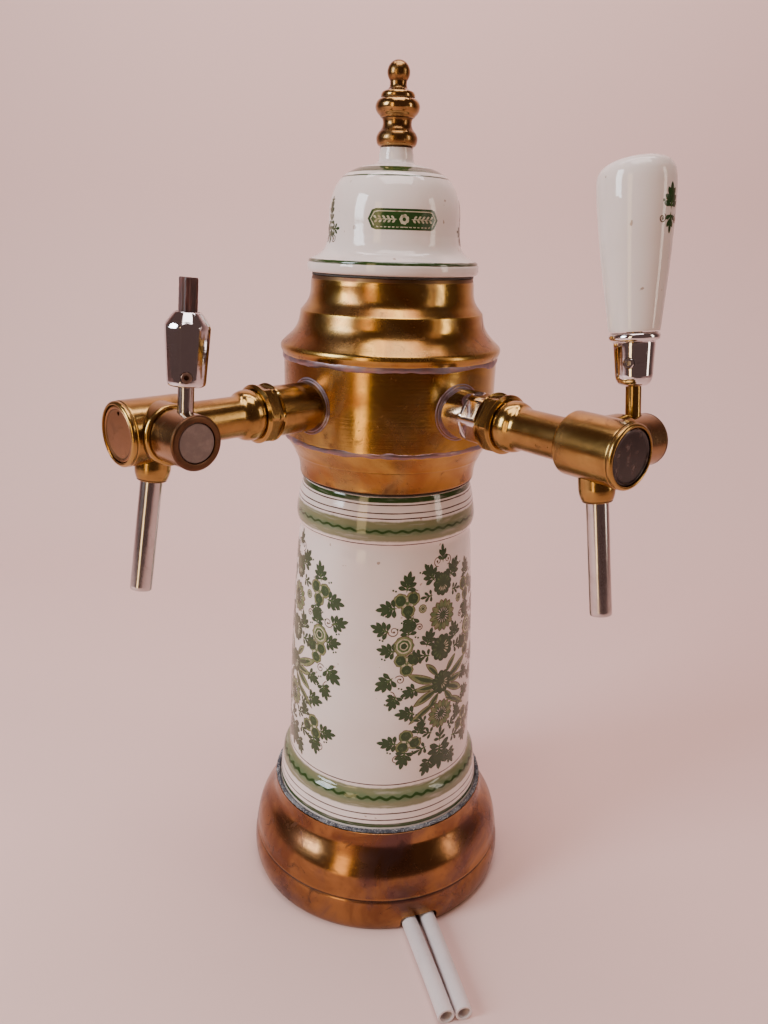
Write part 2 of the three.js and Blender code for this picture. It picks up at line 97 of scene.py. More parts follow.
def noise(tree, vector, scale, detail=3.0, rough=0.5, distortion=0.0):
    """Noise value, spread to about 0 to 1."""
    made = node(tree, "ShaderNodeTexNoise", {}, {
        "Vector": vector, "Scale": scale, "Detail": detail, "Roughness": rough, "Distortion": distortion})
    return made.outputs["Fac"]


def ramp(tree, value, low, high, to_low=0.0, to_high=1.0):
    """Smooth step of a value from low to high."""
    made = node(tree, "ShaderNodeMapRange", {"interpolation_type": "SMOOTHSTEP"}, {
        "Value": value, "From Min": low, "From Max": high, "To Min": to_low, "To Max": to_high})
    return made.outputs["Result"]


def sums(tree, operation, a, b):
    """One sum on two numbers."""
    made = node(tree, "ShaderNodeMath", {"operation": operation}, {0: a, 1: b})
    return made.outputs[0]


def mixed(tree, factor, a, b, blend="MIX"):
    """Mix two colours."""
    made = node(tree, "ShaderNodeMix", {"data_type": "RGBA", "blend_type": blend}, {0: factor, 6: a, 7: b})
    return made.outputs[2]


def bump(tree, height, strength, distance):
    """Normal from a height."""
    made = node(tree, "ShaderNodeBump", {}, {"Strength": strength, "Distance": distance, "Height": height})
    return made.outputs["Normal"]


def stretched(tree, vector, scale):
    """Vector scaled along its own axes."""
    made = node(tree, "ShaderNodeVectorMath", {"operation": "MULTIPLY"}, {0: vector, 1: scale})
    return made.outputs[0]


def skin(name, rings, loop=False):
    """Closed mesh over a row of rings, in metres. A ring of one point is a pole."""
    start = np.cumsum([0] + [len(ring) for ring in rings])
    faces = []
    pairs = [(i, i + 1) for i in range(len(rings) - 1)] + ([(len(rings) - 1, 0)] if loop else [])
    for low, high in pairs:
        n_low, n_high = len(rings[low]), len(rings[high])
        for i in range(max(n_low, n_high)):
            j = (i + 1) % max(n_low, n_high)
            a = start[low] + (i if n_low > 1 else 0)
            b = start[low] + (j if n_low > 1 else 0)
            c = start[high] + (j if n_high > 1 else 0)
            d = start[high] + (i if n_high > 1 else 0)
            corners = [a, b, c, d] if n_low > 1 and n_high > 1 else ([a, b, c] if n_low > 1 else [a, c, d])
            faces.append([int(k) for k in corners])
    mesh = bpy.data.meshes.new(name)
    mesh.from_pydata(np.concatenate(rings).tolist(), [], faces)
    mesh.update()
    piece = bpy.data.objects.new(name, mesh)
    bpy.context.scene.collection.objects.link(piece)
    return piece


def tube(name, path, radius, bore, sides=32):
    """Hollow hose along a path of points, with square-cut ends."""
    points = [Vector(p) for p in path]
    last = len(points) - 1
    tangents = [(points[min(i + 1, last)] - points[max(i - 1, 0)]).normalized() for i in range(len(points))]
    side = tangents[0].orthogonal().normalized()
    outer, inner = [], []
    turn = np.linspace(0, 2 * np.pi, sides, endpoint=False)
    for point, tangent in zip(points, tangents):
        side = (side - tangent * side.dot(tangent)).normalized()
        across = tangent.cross(side)
        ring = np.outer(np.cos(turn), side) + np.outer(np.sin(turn), across)
        outer.append(np.array(point) + radius * ring)
        inner.append(np.array(point) + bore * ring)
    return skin(name, outer + inner[::-1], loop=True)


def mark_surface(mesh, place):
    """Store each point's place about the turning axis, and how sharp the edge is there."""
    count = len(mesh.vertices)
    co = np.empty(count * 3, np.float32)
    mesh.vertices.foreach_get("co", co)
    co = co.reshape(-1, 3)
    back = np.array(place.inverted())
    local = co @ back[:3, :3].T + back[:3, 3]
    turning = mesh.attributes.new("turning", "FLOAT_VECTOR", "POINT")
    turning.data.foreach_set("vector", local.astype(np.float32).ravel())
    normal = np.empty(count * 3, np.float32)
    mesh.vertex_normals.foreach_get("vector", normal)
    normal = normal.reshape(-1, 3)
    edges = np.empty(len(mesh.edges) * 2, np.int32)
    mesh.edges.foreach_get("vertices", edges)
    a, b = edges.reshape(-1, 2).T
    run = co[b] - co[a]
    length = np.maximum(np.linalg.norm(run, axis=1), 1e-9)
    bend = np.zeros(count)
    for one, other, sign in ((a, b, 1), (b, a, -1)):
        drop = -sign * np.einsum("ij,ij->i", run, normal[one]) / length
        np.add.at(bend, one, drop)
    degree = np.bincount(np.concatenate([a, b]), minlength=count)
    bend /= np.maximum(degree, 1)
    for _ in range(2):
        spread = np.zeros(count)
        np.add.at(spread, a, bend[b])
        np.add.at(spread, b, bend[a])
        bend = 0.5 * bend + 0.5 * spread / np.maximum(degree, 1)
    value = np.clip(bend / 0.1, -1, 1).astype(np.float32)
    mesh.attributes.new("edge", "FLOAT", "POINT").data.foreach_set("value", value)


def wrap_up(piece, material, body, slot, *stands_for, axis=None, smooth=35):
    """Shade the piece, mark its surface about its axis, give it its material, and hang it on its body."""
    mark_surface(piece.data, axis or Matrix.Identity(4))
    piece.data.materials.clear()
    piece.data.materials.append(material)
    piece.data.shade_smooth()
    piece.data.set_sharp_from_angle(angle=math.radians(smooth))
    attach(piece, body)
    if stands_for:
        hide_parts(*stands_for)
    return piece


def spaced(knots, count):
    """Points evenly spaced along a smooth curve through the knots, in metres."""
    knots = np.array(knots, float)
    ends = np.vstack([2 * knots[0] - knots[1], knots, 2 * knots[-1] - knots[-2]])
    fine = []
    for i in range(1, len(ends) - 2):
        for t in np.linspace(0, 1, 24, endpoint=i == len(ends) - 3):
            a, b, c, d = ends[i - 1:i + 3]
            fine.append(0.5 * (2 * b + (c - a) * t + (2 * a - 5 * b + 4 * c - d) * t * t
                               + (3 * b - a - 3 * c + d) * t ** 3))
    fine = np.array(fine)
    run = np.concatenate([[0], np.cumsum(np.linalg.norm(np.diff(fine, axis=0), axis=1))])
    at = np.linspace(0, run[-1], count)
    return np.stack([np.interp(at, run, fine[:, k]) for k in range(3)], axis=1) * MM, run[-1] * MM


line_plastic, tree, surface = new_material("milky_line")
place = tree.nodes.new("ShaderNodeTexCoord").outputs["Object"]
scuffs = ramp(tree, noise(tree, place, 260.0, 5.0, 0.65), 0.55, 0.75)
cloud = noise(tree, place, 45.0, 2.0)
tone = mixed(tree, cloud, (0.74, 0.67, 0.67, 1), (0.62, 0.56, 0.57, 1))
scuffed = mixed(tree, sums(tree, "MULTIPLY", scuffs, 0.35), tone, (0.45, 0.40, 0.36, 1))
link(tree, scuffed, surface.inputs["Base Color"])
link(tree, ramp(tree, scuffs, 0, 1, 0.28, 0.5), surface.inputs["Roughness"])
link(tree, bump(tree, noise(tree, place, 500.0, 3.0), 0.15, 0.0002), surface.inputs["Normal"])
surface.inputs["Subsurface Weight"].default_value = 0.35
surface.inputs["Subsurface Radius"].default_value = (0.004, 0.0038, 0.0035)
surface.inputs["Subsurface Scale"].default_value = 1.0

LINE_TAILS = {
    "left": [(34.3, -98.3, ON_TABLE), (44.2, -125, ON_TABLE), (53.9, -151.5, ON_TABLE),
             (62.9, -177.2, ON_TABLE)],
    "right": [(48, -92.2, ON_TABLE), (57.3, -119.5, ON_TABLE), (66.4, -147, ON_TABLE),
              (75, -173.5, ON_TABLE)],
}
LINE_RISERS = {
    "left": [(-26.5, -30, 376), (-26.5, -30, 350), (-20, -33, 290), (-6, -38, 200), (9, -45, 120),
             (15.5, -48, 80), (16.2, -48.5, 56), (18.5, -54.8, 31), (24.7, -72, 12.7),
             (33.3, -95.5, ON_TABLE), (34.2, -98, ON_TABLE)],
    "right": [(26.5, -30, 376), (26.5, -30, 350), (27.3, -32, 290), (29.5, -36, 200), (30.8, -40, 120),
              (31.2, -41.5, 80), (31.3, -41.9, 56), (33.4, -48.3, 31), (39.2, -65.6, 12.7),
              (47.1, -89.3, ON_TABLE), (47.9, -91.9, ON_TABLE)],
}
for side, knots in LINE_TAILS.items():
    route, length = spaced(knots, 24)
    tail = wrap_up(tube(f"{side}_line_tail", route, LINE_R, LINE_BORE), line_plastic, "tower", "hose_plastic",
                   f"{side}_hose_tail")
for side, knots in LINE_RISERS.items():
    route, length = spaced(knots, 90)
    wrap_up(tube(f"{side}_line_inside", route, LINE_R, LINE_BORE, 24), line_plastic, "tower", "hose_plastic",
            f"{side}_riser_hose")

# ------------------------------------------------------------------ studio
# A pale floor that sweeps up behind the tower, and soft lights. None of it belongs to the object.
sweep = [(y, 0.0) for y in np.linspace(-1.3, 0.55, 12)]
sweep += [(0.55 + 0.6 * math.sin(a), 0.6 - 0.6 * math.cos(a)) for a in np.linspace(0, math.pi / 2, 24)[1:]]
sweep += [(1.15, z) for z in np.linspace(0.7, 3.5, 8)]
floor_mesh = bpy.data.meshes.new("floor")
floor_mesh.from_pydata([(x, y, z) for y, z in sweep for x in (-4.5, 4.5)], [],
                       [(2 * i, 2 * i + 1, 2 * i + 3, 2 * i + 2) for i in range(len(sweep) - 1)])
floor = bpy.data.objects.new("floor", floor_mesh)
bpy.context.scene.collection.objects.link(floor)
floor_mesh.shade_smooth()
paper, tree, surface = new_material("studio_paper")
surface.inputs["Base Color"].default_value = (0.80, 0.57, 0.53, 1)
surface.inputs["Roughness"].default_value = 0.9
floor_mesh.materials.append(paper)


def soft_light(name, place, aim, width, height, power, colour):
    """One soft box."""
    data = bpy.data.lights.new(name, "AREA")
    data.shape = "RECTANGLE"
    data.size = width
    data.size_y = height
    data.energy = power
    data.color = colour
    lamp = bpy.data.objects.new(name, data)
    lamp.location = place
    lamp.rotation_euler = (Vector(aim) - Vector(place)).to_track_quat("-Z", "Y").to_euler()
    bpy.context.scene.collection.objects.link(lamp)


soft_light("window", (-1.5, -0.9, 1.05), (0, 0, 0.35), 0.6, 1.0, 30, (0.86, 0.93, 1.0))
soft_light("ceiling", (0.1, -0.4, 2.2), (0, 0, 0.2), 1.2, 0.9, 20, (1.0, 0.87, 0.84))
soft_light("lamp", (-0.70, -1.5, 0.55), (0, 0, 0.35), 0.34, 1.3, 6.0, (1.0, 0.70, 0.34))
soft_light("far_side", (1.7, -0.5, 0.8), (0, 0, 0.4), 0.3, 1.2, 6, (1.0, 0.86, 0.72))
soft_light("behind", (0.0, 0.35, 2.0), (0, 1.1, 0.9), 1.6, 0.5, 19, (1.0, 0.86, 0.86))
world = bpy.data.worlds.new("studio")
world.use_nodes = True
world.node_tree.nodes["Background"].inputs[0].default_value = (0.32, 0.19, 0.17, 1)
world.node_tree.nodes["Background"].inputs[1].default_value = 0.34
bpy.context.scene.world = world

# ------------------------------------------------------------------ foot
# Spun brass shell, aged to a reddish brown. The bottom edge is rolled in and holds a steel plate.
NOTCH_LINE = math.radians(19.15)
NOTCH_OFFSET = 7.7


def flow(knots, count):
    """Smooth run of an outline through a few (radius, height) knots, in millimetres."""
    points, _ = spaced([(r, z, 0) for r, z in knots], count)
    return [(p[0] / MM, p[1] / MM) for p in points]


def rounded(knots, steps=5):
    """Outline with eased corners: a third number in a knot is how far its curve reaches each way."""
    result = []
    count = len(knots)
    for i, knot in enumerate(knots):
        corner = Vector(knot[:2])
        reach = knot[2] if len(knot) > 2 else 0
        if not reach:
            result.append(tuple(corner))
            continue
        before = Vector(knots[i - 1][:2]) - corner
        after = Vector(knots[(i + 1) % count][:2]) - corner
        first = corner + before.normalized() * min(reach, before.length * 0.49)
        last = corner + after.normalized() * min(reach, after.length * 0.49)
        for t in np.linspace(0, 1, steps):
            p = first * (1 - t) ** 2 + corner * 2 * t * (1 - t) + last * t * t
            result.append(tuple(p))
    return result


def turned(name, outline, sides=192, place=None, closed=False, step=2.5, shape=None):
    """Piece turned about its own Z axis, from (radius, height) points in millimetres, outside upwards."""
    turn = np.linspace(0, 2 * np.pi, sides, endpoint=False)
    fine = []
    for i, (r, z) in enumerate(outline):
        fine.append((r, z))
        if i < len(outline) - 1 or closed:
            r_next, z_next = outline[(i + 1) % len(outline)]
            cuts = int(math.hypot(r_next - r, z_next - z) / step)
            fine += [(r + (r_next - r) * k / (cuts + 1), z + (z_next - z) * k / (cuts + 1))
                     for k in range(1, cuts + 1)]
    rings = []
    for r, z in fine:
        if r < 1e-6:
            rings.append(np.array([[0.0, 0.0, z * MM]]))
            continue
        reach = shape(r, z, turn) if shape else np.full(sides, r)
        rings.append(np.column_stack([np.cos(turn) * reach, np.sin(turn) * reach, np.full(sides, z)]) * MM)
    piece = skin(name, rings, loop=closed)
    piece.data.transform(place or Matrix.Identity(4))
    return piece


def cut_out(piece, tool, how="DIFFERENCE"):
    """Cut one mesh by another and keep a plain mesh."""
    change = piece.modifiers.new("cut", "BOOLEAN")
    change.operation = how
    change.object = tool
    change.solver = "EXACT"
    bpy.context.view_layer.update()
    result = bpy.data.meshes.new_from_object(piece.evaluated_get(bpy.context.evaluated_depsgraph_get()))
    piece.modifiers.clear()
    piece.data = result
    bpy.data.objects.remove(tool)


def aged_metal_group():
    """Patina of an old polished metal, from its place about the turning axis and its edges."""
    group = bpy.data.node_groups.new("aged_metal", "ShaderNodeTree")
    sockets = [("Place", "NodeSocketVector"), ("Bright", "NodeSocketColor"), ("Deep", "NodeSocketColor"),
               ("Stain", "NodeSocketColor"), ("Smoke", "NodeSocketColor"), ("Mottling", "NodeSocketFloat"),
               ("Staining", "NodeSocketFloat"), ("Polish", "NodeSocketFloat")]
    for label, kind in sockets:
        group.interface.new_socket(name=label, in_out="INPUT", socket_type=kind)
    results = [("Color", "NodeSocketColor"), ("Roughness", "NodeSocketFloat"), ("Normal", "NodeSocketVector")]
    for label, kind in results:
        group.interface.new_socket(name=label, in_out="OUTPUT", socket_type=kind)
    start = group.nodes.new("NodeGroupInput").outputs
    where = start["Place"]
    heat = node(group, "ShaderNodeAttribute", {"attribute_name": "heat"}).outputs["Fac"]
    edge = node(group, "ShaderNodeAttribute", {"attribute_name": "edge"}).outputs["Fac"]
    broad = noise(group, where, 22.0, 4.0, 0.6, 0.6)
    cloudy = ramp(group, broad, 0.36, 0.66)
    rings = noise(group, stretched(group, where, (2.0, 2.0, 700.0)), 1.0, 4.0, 0.7)
    wide_rings = noise(group, stretched(group, where, (3.0, 3.0, 90.0)), 1.0, 2.0, 0.5)
    specks = ramp(group, noise(group, where, 420.0, 6.0, 0.7), 0.6, 0.72)
    blots = ramp(group, noise(group, where, 75.0, 6.0, 0.65, 0.8), 0.56, 0.7)
    worn = ramp(group, edge, 0.12, 0.7)
    grimy = ramp(group, sums(group, "MULTIPLY", edge, -1.0), 0.12, 0.7)
    smoke = ramp(group, noise(group, where, 13.0, 4.0, 0.62, 1.2), 0.47, 0.64)
    mottle = sums(group, "MULTIPLY", cloudy, start["Mottling"])
    colour = mixed(group, mottle, start["Bright"], start["Deep"])
    colour = mixed(group, sums(group, "MULTIPLY", wide_rings, 0.35), colour, start["Deep"])
    haze = sums(group, "MULTIPLY", smoke, sums(group, "MULTIPLY", start["Mottling"], 0.6))
    colour = mixed(group, haze, colour, start["Smoke"])
    stain = sums(group, "MULTIPLY", sums(group, "MAXIMUM", blots, specks), start["Staining"])
    colour = mixed(group, stain, colour, start["Stain"])
    colour = mixed(group, sums(group, "MULTIPLY", worn, 0.55), colour, start["Bright"])
    colour = mixed(group, sums(group, "MULTIPLY", grimy, 0.75), colour, start["Stain"])
    ragged = ramp(group, sums(group, "ADD", heat, sums(group, "MULTIPLY", broad, 0.5)), 0.55, 1.05)
    colour = mixed(group, sums(group, "MULTIPLY", ragged, 0.8), colour, (0.30, 0.15, 0.16, 1))
    rough = sums(group, "ADD", start["Polish"], sums(group, "MULTIPLY", mottle, 0.12))
    rough = sums(group, "ADD", rough, sums(group, "MULTIPLY", haze, 0.12))
    rough = sums(group, "ADD", rough, sums(group, "MULTIPLY", stain, 0.25))
    rough = sums(group, "ADD", rough, sums(group, "MULTIPLY", rings, 0.04))
    rough = sums(group, "ADD", rough, sums(group, "MULTIPLY", grimy, 0.25))
    tooling = sums(group, "MULTIPLY", rings, sums(group, "MULTIPLY", start["Mottling"], 0.4))
    relief = sums(group, "ADD", tooling, sums(group, "MULTIPLY", broad, 2.2))
    relief = sums(group, "ADD", relief, sums(group, "MULTIPLY", stain, 0.4))
    end = group.nodes.new("NodeGroupOutput")
    link(group, colour, end.inputs["Color"])
    link(group, rough, end.inputs["Roughness"])
    link(group, bump(group, relief, 0.22, 0.0004), end.inputs["Normal"])
    return group


AGED_METAL = aged_metal_group()


def aged_metal(name, bright, deep, stain, mottling, staining, polish, turned_piece=True, smoke=None):
    """Metal with that patina."""
    made, tree, surface = new_material(name)
    place = node(tree, "ShaderNodeAttribute", {"attribute_name": "turning"}).outputs["Vector"]
    if not turned_piece:
        place = tree.nodes.new("ShaderNodeTexCoord").outputs["Object"]
    group = node(tree, "ShaderNodeGroup", {"node_tree": AGED_METAL}, {
        "Place": place,
        "Bright": (*bright, 1), "Deep": (*deep, 1), "Stain": (*stain, 1),
        "Smoke": (*(smoke or stain), 1),
        "Mottling": mottling, "Staining": staining, "Polish": polish})
    for socket, target in (("Color", "Base Color"), ("Roughness", "Roughness"), ("Normal", "Normal")):
        link(tree, group.outputs[socket], surface.inputs[target])
    surface.inputs["Metallic"].default_value = 1.0
    return made


foot_brass = aged_metal("foot_brass", (0.37, 0.185, 0.065), (0.16, 0.065, 0.03), (0.05, 0.028, 0.028),
                        0.95, 0.6, 0.13, smoke=(0.11, 0.065, 0.075))
foot_side = flow([(102.4, 0.2), (104.0, 3.5), (105.1, 8.5), (105.5, 14), (105.2, 20), (104.2, 25),
                  (103.1, 27.6)], 26)
foot_side += flow([(103.5, 28.3), (103.9, 29.6), (103.5, 31), (103.1, 33)], 8)
foot_side += flow([(102.9, 35), (102.2, 39.5), (100, 47), (96.3, 54), (91.7, 61), (88.8, 66.5), (87.8, 72)],
                  34)
foot_outline = [(101.6, 0)] + foot_side
foot_outline += rounded([(87.5, 77, 0.8), (85.5, 77, 0.6), (85.5, 71), (70, 71, 0.8), (70, 68.6, 0.8),
                         (84.5, 68.6, 4)])
foot_outline += flow([(93.2, 54.5), (98.2, 44), (100.6, 33), (101.2, 26)], 12)
foot_outline += [(102.8, 20), (102.4, 9), (101, 7.4), (94, 7.4), (94, 5.4), (100.4, 5.4), (100.4, 0.2)]
foot = turned("foot_shell", foot_outline, closed=True)
quarter = np.linspace(0, math.pi / 2, 9)
notch_outline = [(-15, -2), (15, -2)] + [(10 + 5 * math.cos(a), 8 + 5 * math.sin(a)) for a in quarter]
notch_outline += [(-10 - 5 * math.sin(a), 8 + 5 * math.cos(a)) for a in quarter]
notch_rings = [np.array([(NOTCH_OFFSET + x, -y, z) for x, z in notch_outline]) * MM for y in (86, 112)]
notch_ends = [ring.mean(0, keepdims=True) for ring in notch_rings]
notch = skin("notch", [notch_ends[0], *notch_rings, notch_ends[1]])
notch.data.transform(Matrix.Rotation(NOTCH_LINE, 4, "Z"))
cut_out(foot, notch)
wrap_up(foot, foot_brass, "tower", "base_brass", "base_shell")


plated_steel = aged_metal("plated_steel", (0.62, 0.61, 0.58), (0.42, 0.40, 0.37), (0.22, 0.13, 0.08),
                          0.6, 0.6, 0.3, turned_piece=False)
nodes["base_plate"].material_slots[0].material = plated_steel

# ------------------------------------------------------------------ putty
# The ceramic stands in the foot's lip in dark putty, smeared over the lip by hand. Pale crumbs of
# plaster stick in it.
from mathutils import noise as lumps

LUMPS_SEED = 7
lumps.seed_set(LUMPS_SEED)

PUTTY_OUTLINE = [(74, 71.3), (85.2, 71.3), (85.2, 77.15), (86.6, 77.3), (87.1, 77.9), (86.3, 78.8),
                 (84.9, 79.3), (84.05, 79.0), (83.95, 77), (84.3, 72.7), (74, 72.7)]


def roughen(piece, amount, scale, keep=None):
    """Push points about by noise, except those that keep() holds."""
    for point in piece.data.vertices:
        if keep and keep(point.co):
            continue
        push = lumps.noise_vector(point.co * scale) + 0.5 * lumps.noise_vector(point.co * scale * 2.7)
        point.co += push * amount


putty, tree, surface = new_material("putty")
place = tree.nodes.new("ShaderNodeTexCoord").outputs["Object"]
grain = noise(tree, place, 900.0, 5.0, 0.7)
patch = ramp(tree, noise(tree, place, 160.0, 4.0, 0.65), 0.45, 0.62)
tone = mixed(tree, patch, (0.035, 0.04, 0.055, 1), (0.17, 0.18, 0.20, 1))
tone = mixed(tree, ramp(tree, grain, 0.58, 0.72, 0.0, 0.8), tone, (0.42, 0.42, 0.42, 1))
link(tree, tone, surface.inputs["Base Color"])
link(tree, ramp(tree, grain, 0.3, 0.7, 0.55, 0.9), surface.inputs["Roughness"])
link(tree, bump(tree, grain, 0.9, 0.0006), surface.inputs["Normal"])
putty_ring = turned("putty_ring", rounded([(*point, 0.5) for point in PUTTY_OUTLINE], 3), 384, closed=True,
                    step=0.8)
roughen(putty_ring, 0.45 * MM, 420, lambda co: co.z < 77.2 * MM or co.xy.length < 84.2 * MM)
crumb_source = putty_ring.copy()
crumb_source.data = putty_ring.data.copy()
bpy.context.scene.collection.objects.link(crumb_source)
wrap_up(putty_ring, putty, "tower", "putty", "base_gasket", smooth=60)


def scatter_tree(name, material):
    """Geometry Nodes tree that strews small crumbs over the faces that look up."""
    tree = bpy.data.node_groups.new(name, "GeometryNodeTree")
    tree.interface.new_socket(name="Surface", in_out="INPUT", socket_type="NodeSocketGeometry")
    tree.interface.new_socket(name="Density", in_out="INPUT", socket_type="NodeSocketFloat")
    tree.interface.new_socket(name="Size", in_out="INPUT", socket_type="NodeSocketFloat")
    tree.interface.new_socket(name="Seed", in_out="INPUT", socket_type="NodeSocketInt")
    tree.interface.new_socket(name="Crumbs", in_out="OUTPUT", socket_type="NodeSocketGeometry")
    start = tree.nodes.new("NodeGroupInput").outputs
    facing = node(tree, "ShaderNodeSeparateXYZ", {},
                  {0: tree.nodes.new("GeometryNodeInputNormal").outputs[0]})
    upward = node(tree, "FunctionNodeCompare", {"operation": "GREATER_THAN"},
                  {0: facing.outputs["Z"], 1: 0.35})
    points = node(tree, "GeometryNodeDistributePointsOnFaces", {},
                  {"Mesh": start["Surface"], "Selection": upward.outputs[0], "Density": start["Density"],
                   "Seed": start["Seed"]})
    crumb = node(tree, "GeometryNodeMeshIcoSphere", {}, {"Radius": start["Size"], "Subdivisions": 1})
    turn = node(tree, "FunctionNodeRandomValue", {"data_type": "FLOAT_VECTOR"}, {
        "Max": (6.28, 6.28, 6.28), "Seed": 3})
    grow = node(tree, "FunctionNodeRandomValue", {"data_type": "FLOAT_VECTOR"}, {
        "Min": (0.3, 0.3, 0.25), "Max": (1.0, 1.3, 0.8), "Seed": 5})
    laid = node(tree, "GeometryNodeInstanceOnPoints", {}, {
        "Points": points.outputs["Points"], "Instance": crumb.outputs["Mesh"],
        "Rotation": turn.outputs[0], "Scale": grow.outputs[0]})
    real = node(tree, "GeometryNodeRealizeInstances", {}, {0: laid.outputs[0]})
    finish = node(tree, "GeometryNodeSetMaterial", {}, {"Geometry": real.outputs[0], "Material": material})
    end = tree.nodes.new("NodeGroupOutput")
    link(tree, finish.outputs[0], end.inputs[0])
    return tree


def grown(source, tree, values, name):
    """Result of a Geometry Nodes tree on an object, as a plain piece. The source is used up."""
    change = source.modifiers.new(name, "NODES")
    change.node_group = tree
    sockets = {item.name: item.identifier for item in tree.interface.items_tree if item.in_out == "INPUT"}
    for label, value in values.items():
        change[sockets[label]] = value
    bpy.context.view_layer.update()
    mesh = bpy.data.meshes.new_from_object(source.evaluated_get(bpy.context.evaluated_depsgraph_get()))
    bpy.data.objects.remove(source)
    piece = bpy.data.objects.new(name, mesh)
    bpy.context.scene.collection.objects.link(piece)
    return piece


plaster, tree, surface = new_material("plaster_crumb")
place = tree.nodes.new("ShaderNodeTexCoord").outputs["Object"]
speck = noise(tree, place, 350.0, 3.0)
tone = mixed(tree, ramp(tree, speck, 0.45, 0.6), (0.62, 0.60, 0.58, 1), (0.22, 0.22, 0.24, 1))
link(tree, tone, surface.inputs["Base Color"])
link(tree, ramp(tree, speck, 0.3, 0.7, 0.6, 0.9), surface.inputs["Roughness"])
crumbs = grown(crumb_source, scatter_tree("putty_crumbs", plaster),
               {"Density": 900000.0, "Size": 0.42 * MM, "Seed": 11}, "putty_crumbs")
wrap_up(crumbs, plaster, "tower", "putty", smooth=60)

# ------------------------------------------------------------------ ceramic column
# Cast earthenware under a clear warm-white glaze, with lines and bands banded on the wheel by brush.
COLUMN_SIDE = flow([(84, 73), (82.2, 88), (81, 95), (80.6, 99), (79.8, 103), (77.4, 106.4), (75.4, 108.2),
                    (74.9, 112)], 30)
COLUMN_SIDE += flow([(74.7, 118), (74.3, 135), (73.6, 170), (72.3, 203), (70, 245), (68.6, 266), (67, 290),
                     (65.9, 299)], 60)
COLUMN_SIDE += flow([(65.7, 301.5), (66.2, 304.5), (67.6, 307.6), (68.2, 312), (67.6, 318), (66, 327),
                     (64, 334.5), (63, 339.2)], 36)


def painted_ring_group():
    """Mask of one ring painted on the wheel: soft edges, a wobbling hand, or a waved line."""
    group = bpy.data.node_groups.new("painted_ring", "ShaderNodeTree")
    for label in ("Height", "Half width", "Soft edge", "Wave", "Waves"):
        group.interface.new_socket(name=label, in_out="INPUT", socket_type="NodeSocketFloat")
    group.interface.new_socket(name="Mask", in_out="OUTPUT", socket_type="NodeSocketFloat")
    start = group.nodes.new("NodeGroupInput").outputs
    place = group.nodes.new("ShaderNodeTexCoord").outputs["Object"]
    part = node(group, "ShaderNodeSeparateXYZ", {}, {0: place}).outputs
    azimuth = sums(group, "ARCTAN2", part["X"], part["Y"])
    swing = sums(group, "SINE", sums(group, "MULTIPLY", azimuth, start["Waves"]), 0.0)
    hand = sums(group, "SUBTRACT", noise(group, stretched(group, place, (25.0, 25.0, 25.0)), 1.0, 2.0), 0.5)
    tremble = noise(group, stretched(group, place, (160.0, 160.0, 20.0)), 1.0, 2.0)
    fine_hand = sums(group, "SUBTRACT", tremble, 0.5)
    drift = sums(group, "MULTIPLY", hand, 0.0012)
    drift = sums(group, "ADD", drift, sums(group, "MULTIPLY", swing, start["Wave"]))
    off = sums(group, "SUBTRACT", sums(group, "SUBTRACT", part["Z"], start["Height"]), drift)
    off = sums(group, "ABSOLUTE", off, 0.0)
    reach = sums(group, "ADD", start["Half width"], sums(group, "MULTIPLY", fine_hand, start["Soft edge"]))
    over = sums(group, "DIVIDE", sums(group, "SUBTRACT", off, reach), start["Soft edge"])
    mask = sums(group, "SUBTRACT", 1.0, ramp(group, over, -0.5, 0.5))
    streaks = noise(group, stretched(group, place, (55.0, 55.0, 400.0)), 1.0, 3.0)
    load = ramp(group, streaks, 0.25, 0.5, 0.75, 1.0)
    end = group.nodes.new("NodeGroupOutput")
    link(group, sums(group, "MULTIPLY", mask, load), end.inputs["Mask"])
    return group


PAINTED_RING = painted_ring_group()
GLAZE_GREEN = (0.028, 0.058, 0.014, 1)
GLAZE_OLIVE = (0.20, 0.20, 0.105, 1)
GLAZE_BROWN = (0.055, 0.022, 0.012, 1)


def glazed(name, rings):
    """Warm-white glaze with painted rings: (height, half width, soft edge, colour, wave, waves), in mm."""
    made, tree, surface = new_material(name)
    place = tree.nodes.new("ShaderNodeTexCoord").outputs["Object"]
    cloud = ramp(tree, noise(tree, place, 14.0, 3.0), 0.3, 0.7)
    colour = mixed(tree, cloud, (0.82, 0.725, 0.685, 1), (0.77, 0.655, 0.61, 1))
    specks = ramp(tree, noise(tree, place, 190.0, 2.0, 0.3), 0.75, 0.79)
    colour = mixed(tree, sums(tree, "MULTIPLY", specks, 0.7), colour, (0.30, 0.18, 0.11, 1))
    for height, half, soft, tint, wave, waves in rings:
        mask = node(tree, "ShaderNodeGroup", {"node_tree": PAINTED_RING}, {
            "Height": height * MM, "Half width": half * MM, "Soft edge": soft * MM, "Wave": wave * MM,
            "Waves": float(waves)}).outputs["Mask"]
        colour = mixed(tree, mask, colour, tint)
    link(tree, colour, surface.inputs["Base Color"])
    link(tree, ramp(tree, noise(tree, place, 60.0, 4.0), 0.3, 0.8, 0.05, 0.13), surface.inputs["Roughness"])
    broad = noise(tree, place, 90.0, 2.0)
    peel = sums(tree, "ADD", broad, sums(tree, "MULTIPLY", noise(tree, place, 700.0, 2.0), 0.06))
    link(tree, bump(tree, peel, 0.12, 0.0004), surface.inputs["Normal"])
    surface.inputs["IOR"].default_value = 1.55
    surface.inputs["Subsurface Weight"].default_value = 0.08
    surface.inputs["Subsurface Radius"].default_value = (0.003, 0.002, 0.0015)
    surface.inputs["Subsurface Scale"].default_value = 1.0
    return made


